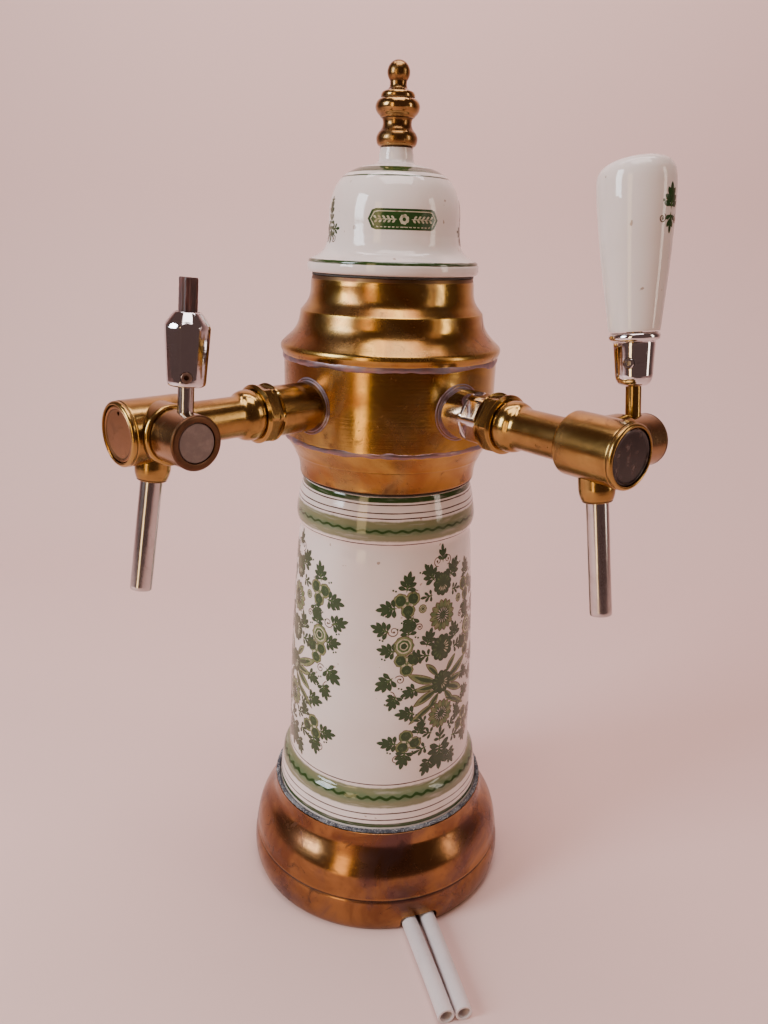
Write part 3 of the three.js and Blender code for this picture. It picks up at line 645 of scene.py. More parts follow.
COLUMN_RINGS = [
    (337.4, 1.75, 0.3, GLAZE_GREEN, 0, 0),
    (334.0, 0.42, 0.25, GLAZE_BROWN, 0, 0),
    (328.6, 0.42, 0.25, GLAZE_BROWN, 0, 0),
    (324.9, 0.42, 0.25, GLAZE_BROWN, 0, 0),
    (315.6, 7.4, 1.6, GLAZE_OLIVE, 0, 0),
    (315.6, 2.6, 3.2, (0.13, 0.17, 0.085, 1), 0, 0),
    (315.8, 0.85, 0.7, GLAZE_GREEN, 0.62, 46),
    (305.6, 0.42, 0.25, GLAZE_BROWN, 0, 0),
    (112.5, 0.45, 0.25, GLAZE_BROWN, 0, 0),
    (102.9, 7.0, 1.6, GLAZE_OLIVE, 0, 0),
    (103.4, 2.8, 3.2, (0.13, 0.17, 0.085, 1), 0, 0),
    (103.6, 0.95, 0.8, GLAZE_GREEN, 0.75, 52),
    (91.2, 0.45, 0.25, GLAZE_BROWN, 0, 0),
    (86.0, 0.45, 0.25, GLAZE_BROWN, 0, 0),
    (81.4, 1.5, 0.35, GLAZE_GREEN, 0, 0),
]
column_glaze = glazed("column_glaze", COLUMN_RINGS)
column_inside = [(62.8, 339.5, 0.5), (56, 339.5, 1), (57, 330), (62, 245), (67, 125), (75, 73, 1)]
column_outline = rounded([(82.6, 73.0)] + COLUMN_SIDE[1:-1] + column_inside)
wrap_up(turned("column_body", column_outline, 256, closed=True), column_glaze, "tower", "glaze",
        "ceramic_column")

# ------------------------------------------------------------------ brush flowers
# Three bouquets of leaves and flowers, each brushed on in a green that thins to olive. The strokes
# stand a hair proud of the glaze. One half is drawn and turned over for the other.
LEAF = 1.0
DEEP = 0.9
MOSS = 0.62
OLIVE = 0.4
CREAM = 0.12
TENDRIL = -0.2


def teardrop(root, heading, length, width, bend=0.0, count=9, tip=1.5):
    """Two rails of one brush stroke, thin at its root and full near its tip. Places are complex numbers."""
    along = np.linspace(0, 1, count)
    half = 0.5 * width * np.maximum(np.sin(np.pi * along ** tip), 0) ** 0.75
    turn = heading + bend * along
    spine = root + np.concatenate([[0], np.cumsum(length / (count - 1) * np.exp(1j * turn[:-1]))])
    side = 1j * np.exp(1j * turn) * half
    return spine + side, spine - side


def scallop(centre, radius, bumps=0, depth=0.12, turn=0.0, count=11):
    """Two rails of a round dab of paint with a scalloped edge."""
    angle = np.linspace(0, np.pi, count)
    rails = []
    for sweep in (angle, -angle):
        reach = radius
        if bumps:
            reach = radius * (1 - depth + depth * np.abs(np.cos(0.5 * bumps * (sweep + turn))))
        rails.append(centre - np.exp(-1j * sweep) * reach)
    return rails[0], rails[1]


def ribbon(points, wide, narrow):
    """Two rails of a thin line that tapers."""
    spine = np.array(points)
    run = np.gradient(spine)
    side = 1j * run / np.abs(run) * np.linspace(wide, narrow, len(spine)) * 0.5
    side[0] = side[-1] = 0
    return spine + side, spine - side


def curl(centre, radius, heading, turns=1.3, hand=1):
    """Tendril that winds in to its centre and ends in a dot."""
    t = np.linspace(0, 1, 26)
    spine = centre + radius * (1 - 0.82 * t) * np.exp(1j * (heading + hand * 2 * np.pi * turns * t))
    return [(ribbon(spine, 0.75, 0.5), 1, TENDRIL), (scallop(spine[-1], 0.8), 1, TENDRIL)]


def palmette(root, heading, size, lobes=7, spread=2.5, tone=LEAF, hand=0.0):
    """Fan of round-tipped strokes from one point."""
    strokes = []
    size = 1.32 * size
    for i in range(lobes):
        t = i / (lobes - 1) - 0.5
        start = root + 0.32 * size * (1 - 2 * abs(t)) * np.exp(1j * heading)
        length = size * (0.74 - 0.42 * abs(t) - 0.2 * hand * t)
        strokes.append((teardrop(start, heading + spread * t, length, size * 0.25, 0.9 * t), 2, tone))
    heel = root - 0.15 * size * np.exp(1j * heading)
    strokes.append((teardrop(heel, heading, 0.6 * size, size * 0.16), 1, MOSS))
    return strokes


def trefoil(centre, size, turn):
    """Flower of three round scalloped petals with dark hearts."""
    strokes = []
    size = 1.22 * size
    for k in range(3):
        heading = turn + 2 * math.pi * k / 3
        middle = centre + 0.5 * size * np.exp(1j * heading)
        strokes.append((scallop(middle, 0.53 * size, 7, 0.12, 0.4 * k), 0, TENDRIL))
        strokes.append((scallop(middle, 0.49 * size, 7, 0.12, 0.4 * k), 1, OLIVE))
        strokes.append((scallop(middle, 0.37 * size, 6, 0.1, k), 2, LEAF if k else DEEP))
        vein = middle - 0.05 * size * np.exp(1j * heading)
        for j in (-1, 0, 1):
            strokes.append((teardrop(vein, heading + 0.55 * j, 0.3 * size, 0.5), 3, MOSS))
        strokes.append((teardrop(centre, heading + math.pi / 3, 0.45 * size, 0.16 * size), 3, CREAM))
    strokes.append((scallop(centre, 0.13 * size, 5), 3, MOSS))
    return strokes


def daisy(centre, radius, petals=16):
    """Open flower with narrow pale petals, brown outlines and a dark rayed eye."""
    strokes = []
    for k in range(petals):
        heading = 2 * math.pi * (k + 0.35) / petals
        start = centre + 0.2 * radius * np.exp(1j * heading)
        tone = OLIVE + 0.1 * (k % 2)
        strokes.append((teardrop(start, heading, 0.83 * radius, 0.36 * radius, tip=1.9), k % 2, TENDRIL))
        strokes.append((teardrop(start, heading, 0.78 * radius, 0.27 * radius, tip=1.9), 2, tone))
        strokes.append((teardrop(centre, heading, (0.55 + 0.08 * (k % 3)) * radius, 0.09 * radius), 3, DEEP))
    strokes.append((scallop(centre, 0.24 * radius, 8), 3, LEAF))
    return strokes


def rosette(centre, radius, heading):
    """Dark carnation with a frilled edge and a comb of pale marks."""
    strokes = []
    for k in range(11):
        turn = heading + 2 * math.pi * k / 11
        frill = centre + 0.78 * radius * np.exp(1j * turn)
        strokes.append((scallop(frill, 0.27 * radius, 0, count=7), 1, LEAF))
    strokes.append((scallop(centre, 0.86 * radius, 11, 0.08), 2, DEEP))
    for k in range(-2, 3):
        start = centre + 0.22 * radius * np.exp(1j * (heading + 0.5 * k))
        strokes.append((teardrop(start, heading + 0.38 * k, 0.42 * radius, 0.1 * radius), 3, CREAM))
    for k in range(7):
        turn = heading + math.pi + 0.42 * (k - 3)
        start = centre + 0.5 * radius * np.exp(1j * turn)
        strokes.append((teardrop(start, turn, 0.36 * radius, 0.13 * radius), 3, MOSS))
    return strokes


def ringed(centre, radius):
    """Pale ringed flower with a dark eye."""
    return [(scallop(centre, radius, 9, 0.13), 1, TENDRIL),
            (scallop(centre, 0.93 * radius, 9, 0.13), 2, OLIVE), (scallop(centre, 0.7 * radius), 3, CREAM),
            (scallop(centre, 0.6 * radius, 7), 4, MOSS), (scallop(centre, 0.38 * radius), 5, CREAM),
            (scallop(centre, 0.3 * radius, 5), 6, LEAF)]


def lily_petal(root, tip, width, bend=0.3):
    """Long pointed petal: brown outline, pale body, dark rib."""
    heading = cmath.phase(tip - root) - 0.5 * bend
    length = abs(tip - root)
    return [(teardrop(root, heading, 1.04 * length, width + 1.0, bend, 13, 1.0), 0, TENDRIL),
            (teardrop(root, heading, length, width, bend, 13, 1.0), 1, OLIVE),
            (teardrop(root, heading, 0.8 * length, 0.5 * width, bend, 11, 1.0), 2, DEEP)]


def bouquet():
    """Strokes of one bouquet: (rails, layer, tone). Places are across from its middle, then height."""
    middle = rosette(272j, 9.0, -1.57) + daisy(247.5j, 12.5) + rosette(221.5j, 10.5, 0.0)
    middle += daisy(166j, 12.0) + rosette(193j, 9.5, -0.6) + palmette(137j, -1.57, 15, 9, 3.6)
    middle += palmette(143j, 1.57, 9, 5, 2.2) + palmette(290j, 1.57, 9, 5, 1.6)
    half = curl(5 + 290j, 4.2, -1.8) + palmette(9 + 277j, 1.0, 11) + palmette(11 + 265j, -0.1, 7, 5)
    half += trefoil(31 + 261.5j, 9.2, 0.4) + palmette(31.5 + 271.5j, 1.75, 10.5)
    half += palmette(40.5 + 258j, -0.1, 10.5)
    half += palmette(26.5 + 250j, -1.1, 9.5) + ringed(18.5 + 256j, 3.6) + curl(25 + 268j, 3.4, 2.4, 0.9, -1)
    half += palmette(14.5 + 227j, 1.9, 10) + palmette(13 + 218j, 0.2, 8, 5) + curl(21 + 242j, 3.0, 0.5)
    half += ringed(33 + 228.5j, 8.4) + trefoil(30.5 + 214.5j, 8.6, -1.57) + palmette(45.5 + 240j, 0.35, 10)
    half += curl(41 + 240.5j, 4.6, 0.2, 1.35, -1) + palmette(29.5 + 237j, 1.5, 9.5)
    half += palmette(40.5 + 224.5j, 0.15, 9.5)
    half += palmette(20 + 219j, -0.2, 9) + lily_petal(5 + 195j, 29 + 205.5j, 6.4)
    half += lily_petal(5 + 192j, 24 + 192j, 5.2)
    half += lily_petal(4 + 188j, 24 + 178j, 6.0, -0.3) + lily_petal(4 + 199j, 15 + 211j, 4.4, -0.3)
    half += lily_petal(3 + 185j, 13 + 173j, 4.6, 0.2) + palmette(42 + 202.5j, -0.7, 11)
    half += curl(35.5 + 201.5j, 4.0, 0.4)
    half += palmette(23.5 + 192.5j, -0.4, 9) + palmette(38.5 + 188j, -1.2, 9) + curl(42 + 189j, 3.4, 1.4, 1.2)
    half += palmette(25 + 173j, 0.0, 10) + lily_petal(4 + 178j, 27 + 163.5j, 4.6, -0.35)
    half += trefoil(28 + 148.5j, 9.0, 1.3) + palmette(37.5 + 148j, 0.1, 10) + palmette(20 + 155j, 1.9, 8.5)
    half += palmette(30 + 139.5j, -1.35, 10.5) + curl(36 + 134j, 4.2, 2.6, 1.25, -1)
    half += palmette(9.5 + 128j, -1.1, 10)
    half += palmette(9 + 152j, 0.4, 7.5, 5) + palmette(14 + 141j, -0.3, 8, 5) + palmette(15 + 164j, 0.3, 7, 5)
    dots = [(19, 283), (14, 288), (40, 271), (47, 252), (33, 246), (22, 234), (49, 233), (36, 241), (47, 218),
            (25, 224), (34, 194), (31, 186), (47, 194), (44, 181), (22, 171), (18, 150), (41, 140), (22, 139),
            (6, 122), (15, 120)]
    half += [(scallop(x + 1j * y + dx, 0.75), 1, LEAF) for x, y in dots for dx in (0, 2.1 + 0.7j)]
    other = [((-right.conj(), -left.conj()), layer, tone) for (left, right), layer, tone in half]
    return middle + half + other


def brushed(name, strokes, profile, azimuth, material, slot, body="tower", place=None, lift=0.06):
    """Lay strokes on a turned surface. Azimuth is measured from the front, in radians."""
    heights = np.array([z for _, z in profile])
    radii = np.array([r for r, _ in profile])
    girth = float(np.interp(np.mean([np.mean(rails[0].imag) for rails, _, _ in strokes]), heights, radii))
    points, faces, tones = [], [], []
    for (left, right), layer, tone in strokes:
        count = len(left)
        rows = np.stack([left, 0.5 * (left + right), right], axis=1)
        first = len(points)
        for raise_by in (-0.04, lift + 0.035 * layer):
            turn = azimuth + rows.real / girth
            reach = np.interp(rows.imag, heights, radii) + raise_by
            wrapped = np.stack([reach * np.sin(turn), -reach * np.cos(turn), rows.imag], axis=2) * MM
            points += [tuple(p) for p in wrapped.reshape(-1, 3)]
        below, above = first, first + 3 * count
        for i in range(count - 1):
            for k in (0, 1):
                a, b = 3 * i + k, 3 * i + k + 1
                faces.append((above + a, above + b, above + b + 3, above + a + 3))
                faces.append((below + a + 3, below + b + 3, below + b, below + a))
            faces.append((above + 3 * i, above + 3 * i + 3, below + 3 * i + 3, below + 3 * i))
            faces.append((above + 3 * i + 5, above + 3 * i + 2, below + 3 * i + 2, below + 3 * i + 5))
        tones += [tone] * (6 * count)
    mesh = bpy.data.meshes.new(name)
    mesh.from_pydata(points, [], faces)
    mesh.attributes.new("tone", "FLOAT", "POINT").data.foreach_set("value", np.array(tones, np.float32))
    mesh.transform(place or Matrix.Identity(4))
    bound = bmesh.new()
    bound.from_mesh(mesh)
    bmesh.ops.remove_doubles(bound, verts=bound.verts, dist=1e-7)
    bmesh.ops.dissolve_degenerate(bound, edges=bound.edges, dist=1e-7)
    bmesh.ops.recalc_face_normals(bound, faces=bound.faces)
    bound.to_mesh(mesh)
    bound.free()
    piece = bpy.data.objects.new(name, mesh)
    bpy.context.scene.collection.objects.link(piece)
    return wrap_up(piece, material, body, slot, smooth=50)


brush_green, tree, surface = new_material("brush_green")
place = tree.nodes.new("ShaderNodeTexCoord").outputs["Object"]
tone = node(tree, "ShaderNodeAttribute", {"attribute_name": "tone"}).outputs["Fac"]
pooling = sums(tree, "MULTIPLY", sums(tree, "SUBTRACT", noise(tree, place, 260.0, 4.0, 0.6), 0.5), 0.55)
shade = node(tree, "ShaderNodeValToRGB", {}, {0: ramp(tree, sums(tree, "ADD", tone, pooling), -0.3, 1.1)})
stops = shade.color_ramp.elements
stops[0].position, stops[0].color = 0.0, (0.085, 0.045, 0.018, 1)
stops[1].position, stops[1].color = 1.0, (0.018, 0.050, 0.012, 1)
for at, tint in ((0.1, (0.10, 0.055, 0.02, 1)), (0.22, (0.55, 0.50, 0.36, 1)), (0.45, (0.20, 0.215, 0.09, 1)),
                 (0.62, (0.085, 0.15, 0.045, 1)), (0.82, (0.032, 0.080, 0.018, 1))):
    stops.new(at).color = tint
link(tree, shade.outputs[0], surface.inputs["Base Color"])
link(tree, ramp(tree, noise(tree, place, 300.0, 2.0), 0.3, 0.7, 0.1, 0.22), surface.inputs["Roughness"])
surface.inputs["IOR"].default_value = 1.5

FACING = math.radians(3.5)
COLUMN_PROFILE = sorted(COLUMN_SIDE, key=lambda point: point[1])
strokes = bouquet()
for label, azimuth in (("right", 39.5), ("left", -67.0), ("back", 166.0)):
    brushed(f"bouquet_{label}", strokes, COLUMN_PROFILE, FACING + math.radians(azimuth), brush_green, "glaze")

# ------------------------------------------------------------------ head
# Sheet-brass drum between two spun collars, soldered together. The arms pass through two holes in it.
# Long handling has left it golden where it is rubbed and brown where it isn't.
AXIS_Z = 400
TAP_REACH = 8
ARM_TURN = {"left": math.radians(-131.5), "right": math.radians(-48.5)}
DRUM_R = 76.8
SHANK_R = 16.5
TAKE_FROM_Z_TO_X = Matrix.Rotation(math.radians(90), 4, "Y")
TAKE_FROM_Z_TO_Y = Matrix.Rotation(math.radians(-90), 4, "X")
arm_place = {side: Matrix.Translation((0, 0, AXIS_Z * MM)) @ Matrix.Rotation(turn, 4, "Z")
             for side, turn in ARM_TURN.items()}
tap_place = {side: place @ Matrix.Translation((TAP_REACH * MM, 0, 0)) for side, place in arm_place.items()}

brass = aged_metal("head_brass", (0.50, 0.31, 0.075), (0.27, 0.105, 0.028), (0.08, 0.04, 0.035),
                   0.9, 0.45, 0.12, smoke=(0.25, 0.17, 0.075))
rubber, tree, surface = new_material("seal_rubber")
place = tree.nodes.new("ShaderNodeTexCoord").outputs["Object"]
dust = noise(tree, place, 180.0, 4.0)
link(tree, mixed(tree, dust, (0.02, 0.018, 0.017, 1), (0.075, 0.06, 0.05, 1)), surface.inputs["Base Color"])
link(tree, ramp(tree, dust, 0.3, 0.7, 0.5, 0.8), surface.inputs["Roughness"])


def heated(mesh, seams, holes=()):
    """Store how near each point is to a soldered seam or to a soldered hole, as the heat's stain."""
    co = np.empty(len(mesh.vertices) * 3, np.float32)
    mesh.vertices.foreach_get("co", co)
    co = co.reshape(-1, 3) / MM
    reach = np.full(len(co), 99.0)
    for seam in seams:
        reach = np.minimum(reach, np.abs(co[:, 2] - seam))
    for turn in holes:
        along = co[:, 0] * math.cos(turn) + co[:, 1] * math.sin(turn)
        across = -co[:, 0] * math.sin(turn) + co[:, 1] * math.cos(turn)
        off = np.abs(np.hypot(across, co[:, 2] - AXIS_Z) - SHANK_R)
        reach = np.minimum(reach, np.where(along > 0, 0.8 * off, 99.0))
    heat = mesh.attributes.new("heat", "FLOAT", "POINT")
    heat.data.foreach_set("value", np.exp(-reach / 4.0).astype(np.float32))


nodes["collar_gasket"].material_slots[0].material = rubber
nodes["cap_gasket"].material_slots[0].material = rubber
lower_side = flow([(65.6, 343), (65.7, 347), (66.6, 352), (68.7, 357.6)], 12) + [(69.3, 358.3)]
lower_side += flow([(69.6, 359.4), (70.9, 362), (73.4, 366), (75.8, 369.8), (76.5, 371.7)], 12)
lower_outline = rounded([(55, 341.5, 0.4), (65.4, 341.5, 0.8)]) + lower_side
lower_outline += [(74.1, 371.7), (71.5, 367), (66, 357), (63.2, 350), (63, 343.9), (55, 343.9)]
lower = turned("lower_collar_spun", lower_outline, closed=True)
heated(lower.data, [371.5])
wrap_up(lower, brass, "tower", "brass", "lower_collar", smooth=25)

drum = turned("drum_wall", [(DRUM_R, 372), (DRUM_R, 430), (74.4, 430), (74.4, 372)], 256, closed=True,
              step=1.5)
for side in ARM_TURN:
    bore = turned("bore", [(0, 60), (12, 60), (12, 90), (0, 90)], 64, arm_place[side] @ TAKE_FROM_Z_TO_X)
    cut_out(drum, bore)
heated(drum.data, [371.5, 430.5], ARM_TURN.values())
wrap_up(drum, brass, "tower", "brass", "manifold_drum")

upper_side = flow([(77.7, 431), (78.9, 433.4), (79.2, 435.4), (78.6, 437.4), (76.6, 439.4)], 12)
upper_side += flow([(74, 441.8), (70.9, 444.9), (68.6, 447.9), (66.6, 452), (65.6, 456.6), (64.9, 460.3)], 16)
upper_side += flow([(64.1, 461.2), (62.3, 463.4), (60.1, 466.3), (58.7, 469.6), (57.9, 474), (57.6, 480)], 16)
upper_outline = [(75.4, 430.3), (77.3, 430.3)] + upper_side + rounded([(57.5, 484.2, 1.0), (34, 484.2, 0.4)])
upper_outline += [(34, 481.8), (55.1, 481.8), (55.1, 473), (56.4, 467.6), (61.6, 460), (63.8, 452),
                  (67, 444.5), (75.6, 437.2)]
upper = turned("upper_collar_spun", upper_outline, closed=True)
heated(upper.data, [430.3])
wrap_up(upper, brass, "tower", "brass", "upper_collar", smooth=25)

# ------------------------------------------------------------------ solder
# Soft solder run round both seams of the drum and both arms: a wavy, lumpy bead of dull violet
# grey that has kept a few silvery spots.
solder, tree, surface = new_material("old_solder")
place = tree.nodes.new("ShaderNodeTexCoord").outputs["Object"]
clouds = ramp(tree, noise(tree, place, 70.0, 4.0, 0.6), 0.38, 0.62)
bright = ramp(tree, noise(tree, place, 34.0, 5.0, 0.6), 0.6, 0.7)
tone = mixed(tree, clouds, (0.30, 0.17, 0.16, 1), (0.22, 0.17, 0.20, 1))
link(tree, mixed(tree, bright, tone, (0.62, 0.60, 0.60, 1)), surface.inputs["Base Color"])
link(tree, ramp(tree, clouds, 0, 1, 0.3, 0.48), surface.inputs["Roughness"])
link(tree, bump(tree, noise(tree, place, 420.0, 4.0, 0.6), 0.5, 0.0005), surface.inputs["Normal"])
surface.inputs["Metallic"].default_value = 0.85


def bead(name, centres, outward, upward, width, height, wave):
    """Lumpy closed bead along a ring of points: half as proud as it is wide."""
    rings = []
    around = np.linspace(0, 2 * np.pi, 12, endpoint=False)
    for centre, out, up in zip(centres, outward, upward):
        spot = Vector(centre)
        swell = 1 + 0.45 * lumps.noise(spot * 60) + 0.3 * lumps.noise(spot * 190)
        shift = wave * (lumps.noise(spot * 38 + Vector((0, 0, 5))) + 0.5 * lumps.noise(spot * 110))
        ring = np.outer(np.cos(around) * height * swell, out)
        ring += np.outer(np.sin(around) * width * swell + shift, up)
        rings.append(np.array(centre) + ring)
    return wrap_up(skin(name, rings[::-1], loop=True), solder, "tower", "brass", smooth=80)


turn = np.linspace(0, 2 * np.pi, 420, endpoint=False)
flat = np.stack([np.cos(turn), np.sin(turn), np.zeros_like(turn)], axis=1)
rise = np.tile([0.0, 0.0, 1.0], (len(turn), 1))
for label, radius, height, width, proud in (("top", 76.9, 429.3, 2.2, 0.75),
                                            ("bottom", 76.6, 371.9, 1.7, 0.85)):
    centres = flat * radius * MM + rise * height * MM
    bead(f"solder_{label}", centres, flat, rise, width * MM, proud * MM, 0.9 * MM)
for side, place in arm_place.items():
    for label, radius, thick in (("inner", SHANK_R + 0.5, 0.75), ("outer", SHANK_R + 2.2, 0.6)):
        y, z = radius * np.cos(turn), radius * np.sin(turn)
        x = np.sqrt(DRUM_R ** 2 - y ** 2)
        turned_out = np.array(place.to_3x3())
        centres = np.stack([x, y, z], axis=1) @ turned_out.T * MM + np.array(place.translation)
        outward = np.stack([x, y, np.zeros_like(x)], axis=1) / DRUM_R @ turned_out.T
        away = np.stack([np.zeros_like(x), np.cos(turn), np.sin(turn)], axis=1) @ turned_out.T
        bead(f"{side}_solder_{label}", centres, outward, away, thick * MM, thick * MM, 0.25 * MM)

# ------------------------------------------------------------------ dome
# Glazed ceramic cap with a flared lip, a green ring on its shoulder and a plain leaf panel in front.
DOME_SIDE = flow([(60, 493.2), (58.3, 495), (55, 496.5), (51.8, 498.4), (48.9, 501), (46.9, 505),
                  (45.7, 511)], 24)
DOME_SIDE += flow([(45.4, 517), (45.3, 524), (44.8, 530), (43.2, 536.5), (40.4, 543), (36, 548.4),
                   (31, 551.8), (24.5, 554.6), (18, 556.1)], 44)
dome_outline = rounded([(50, 486, 0.5), (58.9, 486, 1.2), (60.2, 488.3, 1.2), (60.2, 492.8, 1)], 4)
dome_outline += DOME_SIDE[1:]
dome_outline += flow([(14.5, 556.9), (12.6, 558), (11.8, 560), (11.7, 563)], 8)
dome_outline += rounded([(11.7, 567, 0.8), (6, 567, 0.4)])
dome_outline += [(6, 551), (20, 549.5), (30, 545), (36, 538), (39.3, 528), (39.3, 511), (41, 503), (46, 495)]
DOME_RINGS = [
    (552.2, 1.75, 0.4, GLAZE_GREEN, 0, 0),
    (547.9, 0.45, 0.25, GLAZE_GREEN, 0, 0),
    (493.9, 1.15, 0.35, GLAZE_GREEN, 0, 0),
]
dome_glaze = glazed("dome_glaze", DOME_RINGS)
wrap_up(turned("dome_body", dome_outline, closed=True, step=1.5), dome_glaze, "tower", "glaze", "dome_cap",
        smooth=45)


def box_rails(left, right, low, high, taper=0.0):
    """Rails of a plain panel, pulled to a point at both ends where it tapers."""
    along = np.linspace(0, 1, 19)
    x = left + (right - left) * along
    inward = np.minimum(along, 1 - along) * (right - left)
    half = 0.5 * (high - low) * np.clip(inward / max(taper, 1e-6), 0, 1) ** 0.6
    middle = 0.5j * (low + high)
    return x + middle + 1j * half, x + middle - 1j * half


def leaf_panel():
    """Green lozenge with a pale line inside it and a running leaf spray."""
    strokes = [(box_rails(-24, 24, 514.5, 527.5, 3.5), 0, LEAF),
               (box_rails(-22.4, 22.4, 515.9, 526.1, 3.2), 1, CREAM),
               (box_rails(-21.7, 21.7, 516.5, 525.5, 3.0), 2, DEEP)]
    for hand in (1, -1):
        strokes.append((ribbon([hand * x + 521j for x in np.linspace(4.4, 18.5, 8)], 0.7, 0.4), 3, CREAM))
        for k in range(5):
            for up in (1, -1):
                root = hand * (5.6 + 2.9 * k + 0.7 * (up > 0)) + 521j
                heading = (0 if hand > 0 else math.pi) + hand * up * 0.95
                strokes.append((teardrop(root, heading, 3.0, 1.3, -0.5 * hand * up), 3, CREAM))
    strokes += [(scallop(521j, 3.3, 7, 0.2), 3, CREAM), (scallop(521j, 1.2), 4, LEAF)]
    return strokes


def side_spray():
    """Small dark spray of leaves and curls for the dome's sides."""
    strokes = palmette(0 + 524j, 1.57, 8, 5, 1.4) + palmette(0 + 518j, 1.57, 7, 5, 2.6)
    strokes += palmette(0 + 516j, -1.57, 8, 5, 2.2) + curl(6 + 508.5j, 3.2, 2.2)
    strokes += curl(-6 + 508.5j, 3.2, 0.9, 1.3, -1) + palmette(4 + 514j, 0.1, 6, 5)
    strokes += palmette(-4 + 514j, 3.04, 6, 5)
    strokes += [(scallop(2.4 * k + (532 + abs(k)) * 1j, 0.6), 1, LEAF) for k in (-1, 0, 1)]
    return strokes


DOME_PROFILE = sorted(DOME_SIDE, key=lambda point: point[1])
brushed("dome_panel", leaf_panel(), DOME_PROFILE, FACING + math.radians(8), brush_green, "glaze")
for label, azimuth in (("left", -68), ("right", 84)):
    brushed(f"dome_spray_{label}", side_spray(), DOME_PROFILE, FACING + math.radians(azimuth), brush_green,
            "glaze")

# ------------------------------------------------------------------ finial
# Solid turned brass vase and ball, screwed onto the tie rod that clamps the whole tower.
finial_brass = aged_metal("finial_brass", (0.42, 0.25, 0.085), (0.19, 0.09, 0.03), (0.05, 0.03, 0.02),
                          0.95, 0.75, 0.12, smoke=(0.12, 0.07, 0.045))
finial_side = flow([(10.6, 567.4), (12.8, 568.6), (13.8, 571), (13.9, 573.5), (12.9, 576), (10.9, 578.4),
                    (9.9, 580.6), (9.7, 582.8), (10.3, 585.2)], 26)
finial_side += [(11.3, 585.6)]
finial_side += flow([(11.9, 586.6), (13.7, 588.4), (14.8, 591), (14.8, 593.4), (13.6, 595.8), (11.9, 597.0)],
                    16)
finial_side += flow([(11.2, 597.6), (11.4, 599.2), (10.6, 601.0)], 6)
finial_side += flow([(9.2, 601.6), (6.6, 603.0), (5.6, 605.2), (5.6, 607.4)], 10)
finial_side += [(7.55 * math.cos(a), 612.9 + 7.6 * math.sin(a))
                for a in np.linspace(-0.72, math.pi / 2, 26)[:-1]]
finial_outline = [(0, 588), (5.5, 588), (5.5, 567.3)] + finial_side + [(0, 620.5)]
wrap_up(turned("finial_turned", finial_outline, 96, step=0.8), finial_brass, "tower", "brass", "finial",
        smooth=45)
for name in ("tie_rod", "clamp_plate", "tie_washer", "tie_nut"):
    nodes[name].material_slots[0].material = plated_steel

# ------------------------------------------------------------------ tap shanks and couplings
# Each arm starts as a thick tube soldered through the drum. The left one is plain brass, the right
# one chromed, with wrench flats at its end. A hexagon coupling nut draws the tap onto it.
tap_brass = aged_metal("tap_brass", (0.44, 0.28, 0.085), (0.24, 0.125, 0.038), (0.07, 0.035, 0.022),
                       0.8, 0.4, 0.13, smoke=(0.20, 0.125, 0.06))
chrome = aged_metal("old_chrome", (0.80, 0.78, 0.79), (0.60, 0.56, 0.57), (0.20, 0.14, 0.12),
                    0.3, 0.2, 0.02, smoke=(0.52, 0.46, 0.50))
valve_steel = aged_metal("valve_steel", (0.60, 0.59, 0.57), (0.45, 0.43, 0.40), (0.20, 0.16, 0.12),
                         0.5, 0.3, 0.28, turned_piece=False)


def flatted(distance, count, turn=0.0, low=-1e9, high=1e9):
    """Shape for turned(): flats around the axis, between two heights."""
    def reach(radius, z, angle):
        half = math.pi / count
        off = (angle - turn + half) % (2 * half) - half
        flat = distance(z) if callable(distance) else distance
        return np.minimum(radius, flat / np.cos(off)) if low <= z <= high else np.full(len(angle), radius)
    return reach


for side, place in arm_place.items():
    lathe = place @ TAKE_FROM_Z_TO_X
    finish, slot = (chrome, "chrome") if side == "right" else (tap_brass, "brass")
    wrench = flatted(15.2, 6, 0.0, 95.2, 108.2) if side == "right" else None
    shank_outline = [(4.7, 58), (11.7, 58), (11.7, 76.9), (SHANK_R, 74.9), (SHANK_R, 108.5), (16.1, 109),
                     (12.5, 109), (12.5, 115.5), (4.7, 115.5)]
    shank = turned(f"{side}_shank_tube", shank_outline, 96, lathe, closed=True, step=0.7, shape=wrench)
    wrap_up(shank, finish, "tower", slot, f"{side}_shank", axis=lathe)
    nut_outline = [(12.8, 101.25), (17.0, 101.25), (18.9, 102.9), (18.9, 106.1), (18.1, 106.3), (18.1, 107.1),
                   (18.9, 107.3), (18.9, 113.3), (17.2, 114.75), (12.8, 114.75)]
    tap_lathe = tap_place[side] @ TAKE_FROM_Z_TO_X
    nut = turned(f"{side}_coupling", nut_outline, 96, tap_lathe, closed=True, step=0.6,
                 shape=flatted(16.6, 6, 0.0, 103.4, 112.6))
    wrap_up(nut, tap_brass, "tower", "brass", f"{side}_coupling_nut", axis=tap_lathe, smooth=25)
    nodes[f"{side}_coupling_seal"].material_slots[0].material = rubber
    nodes[f"{side}_shank_locknut"].material_slots[0].material = plated_steel
    nodes[f"{side}_tail_elbow"].material_slots[0].material = valve_steel

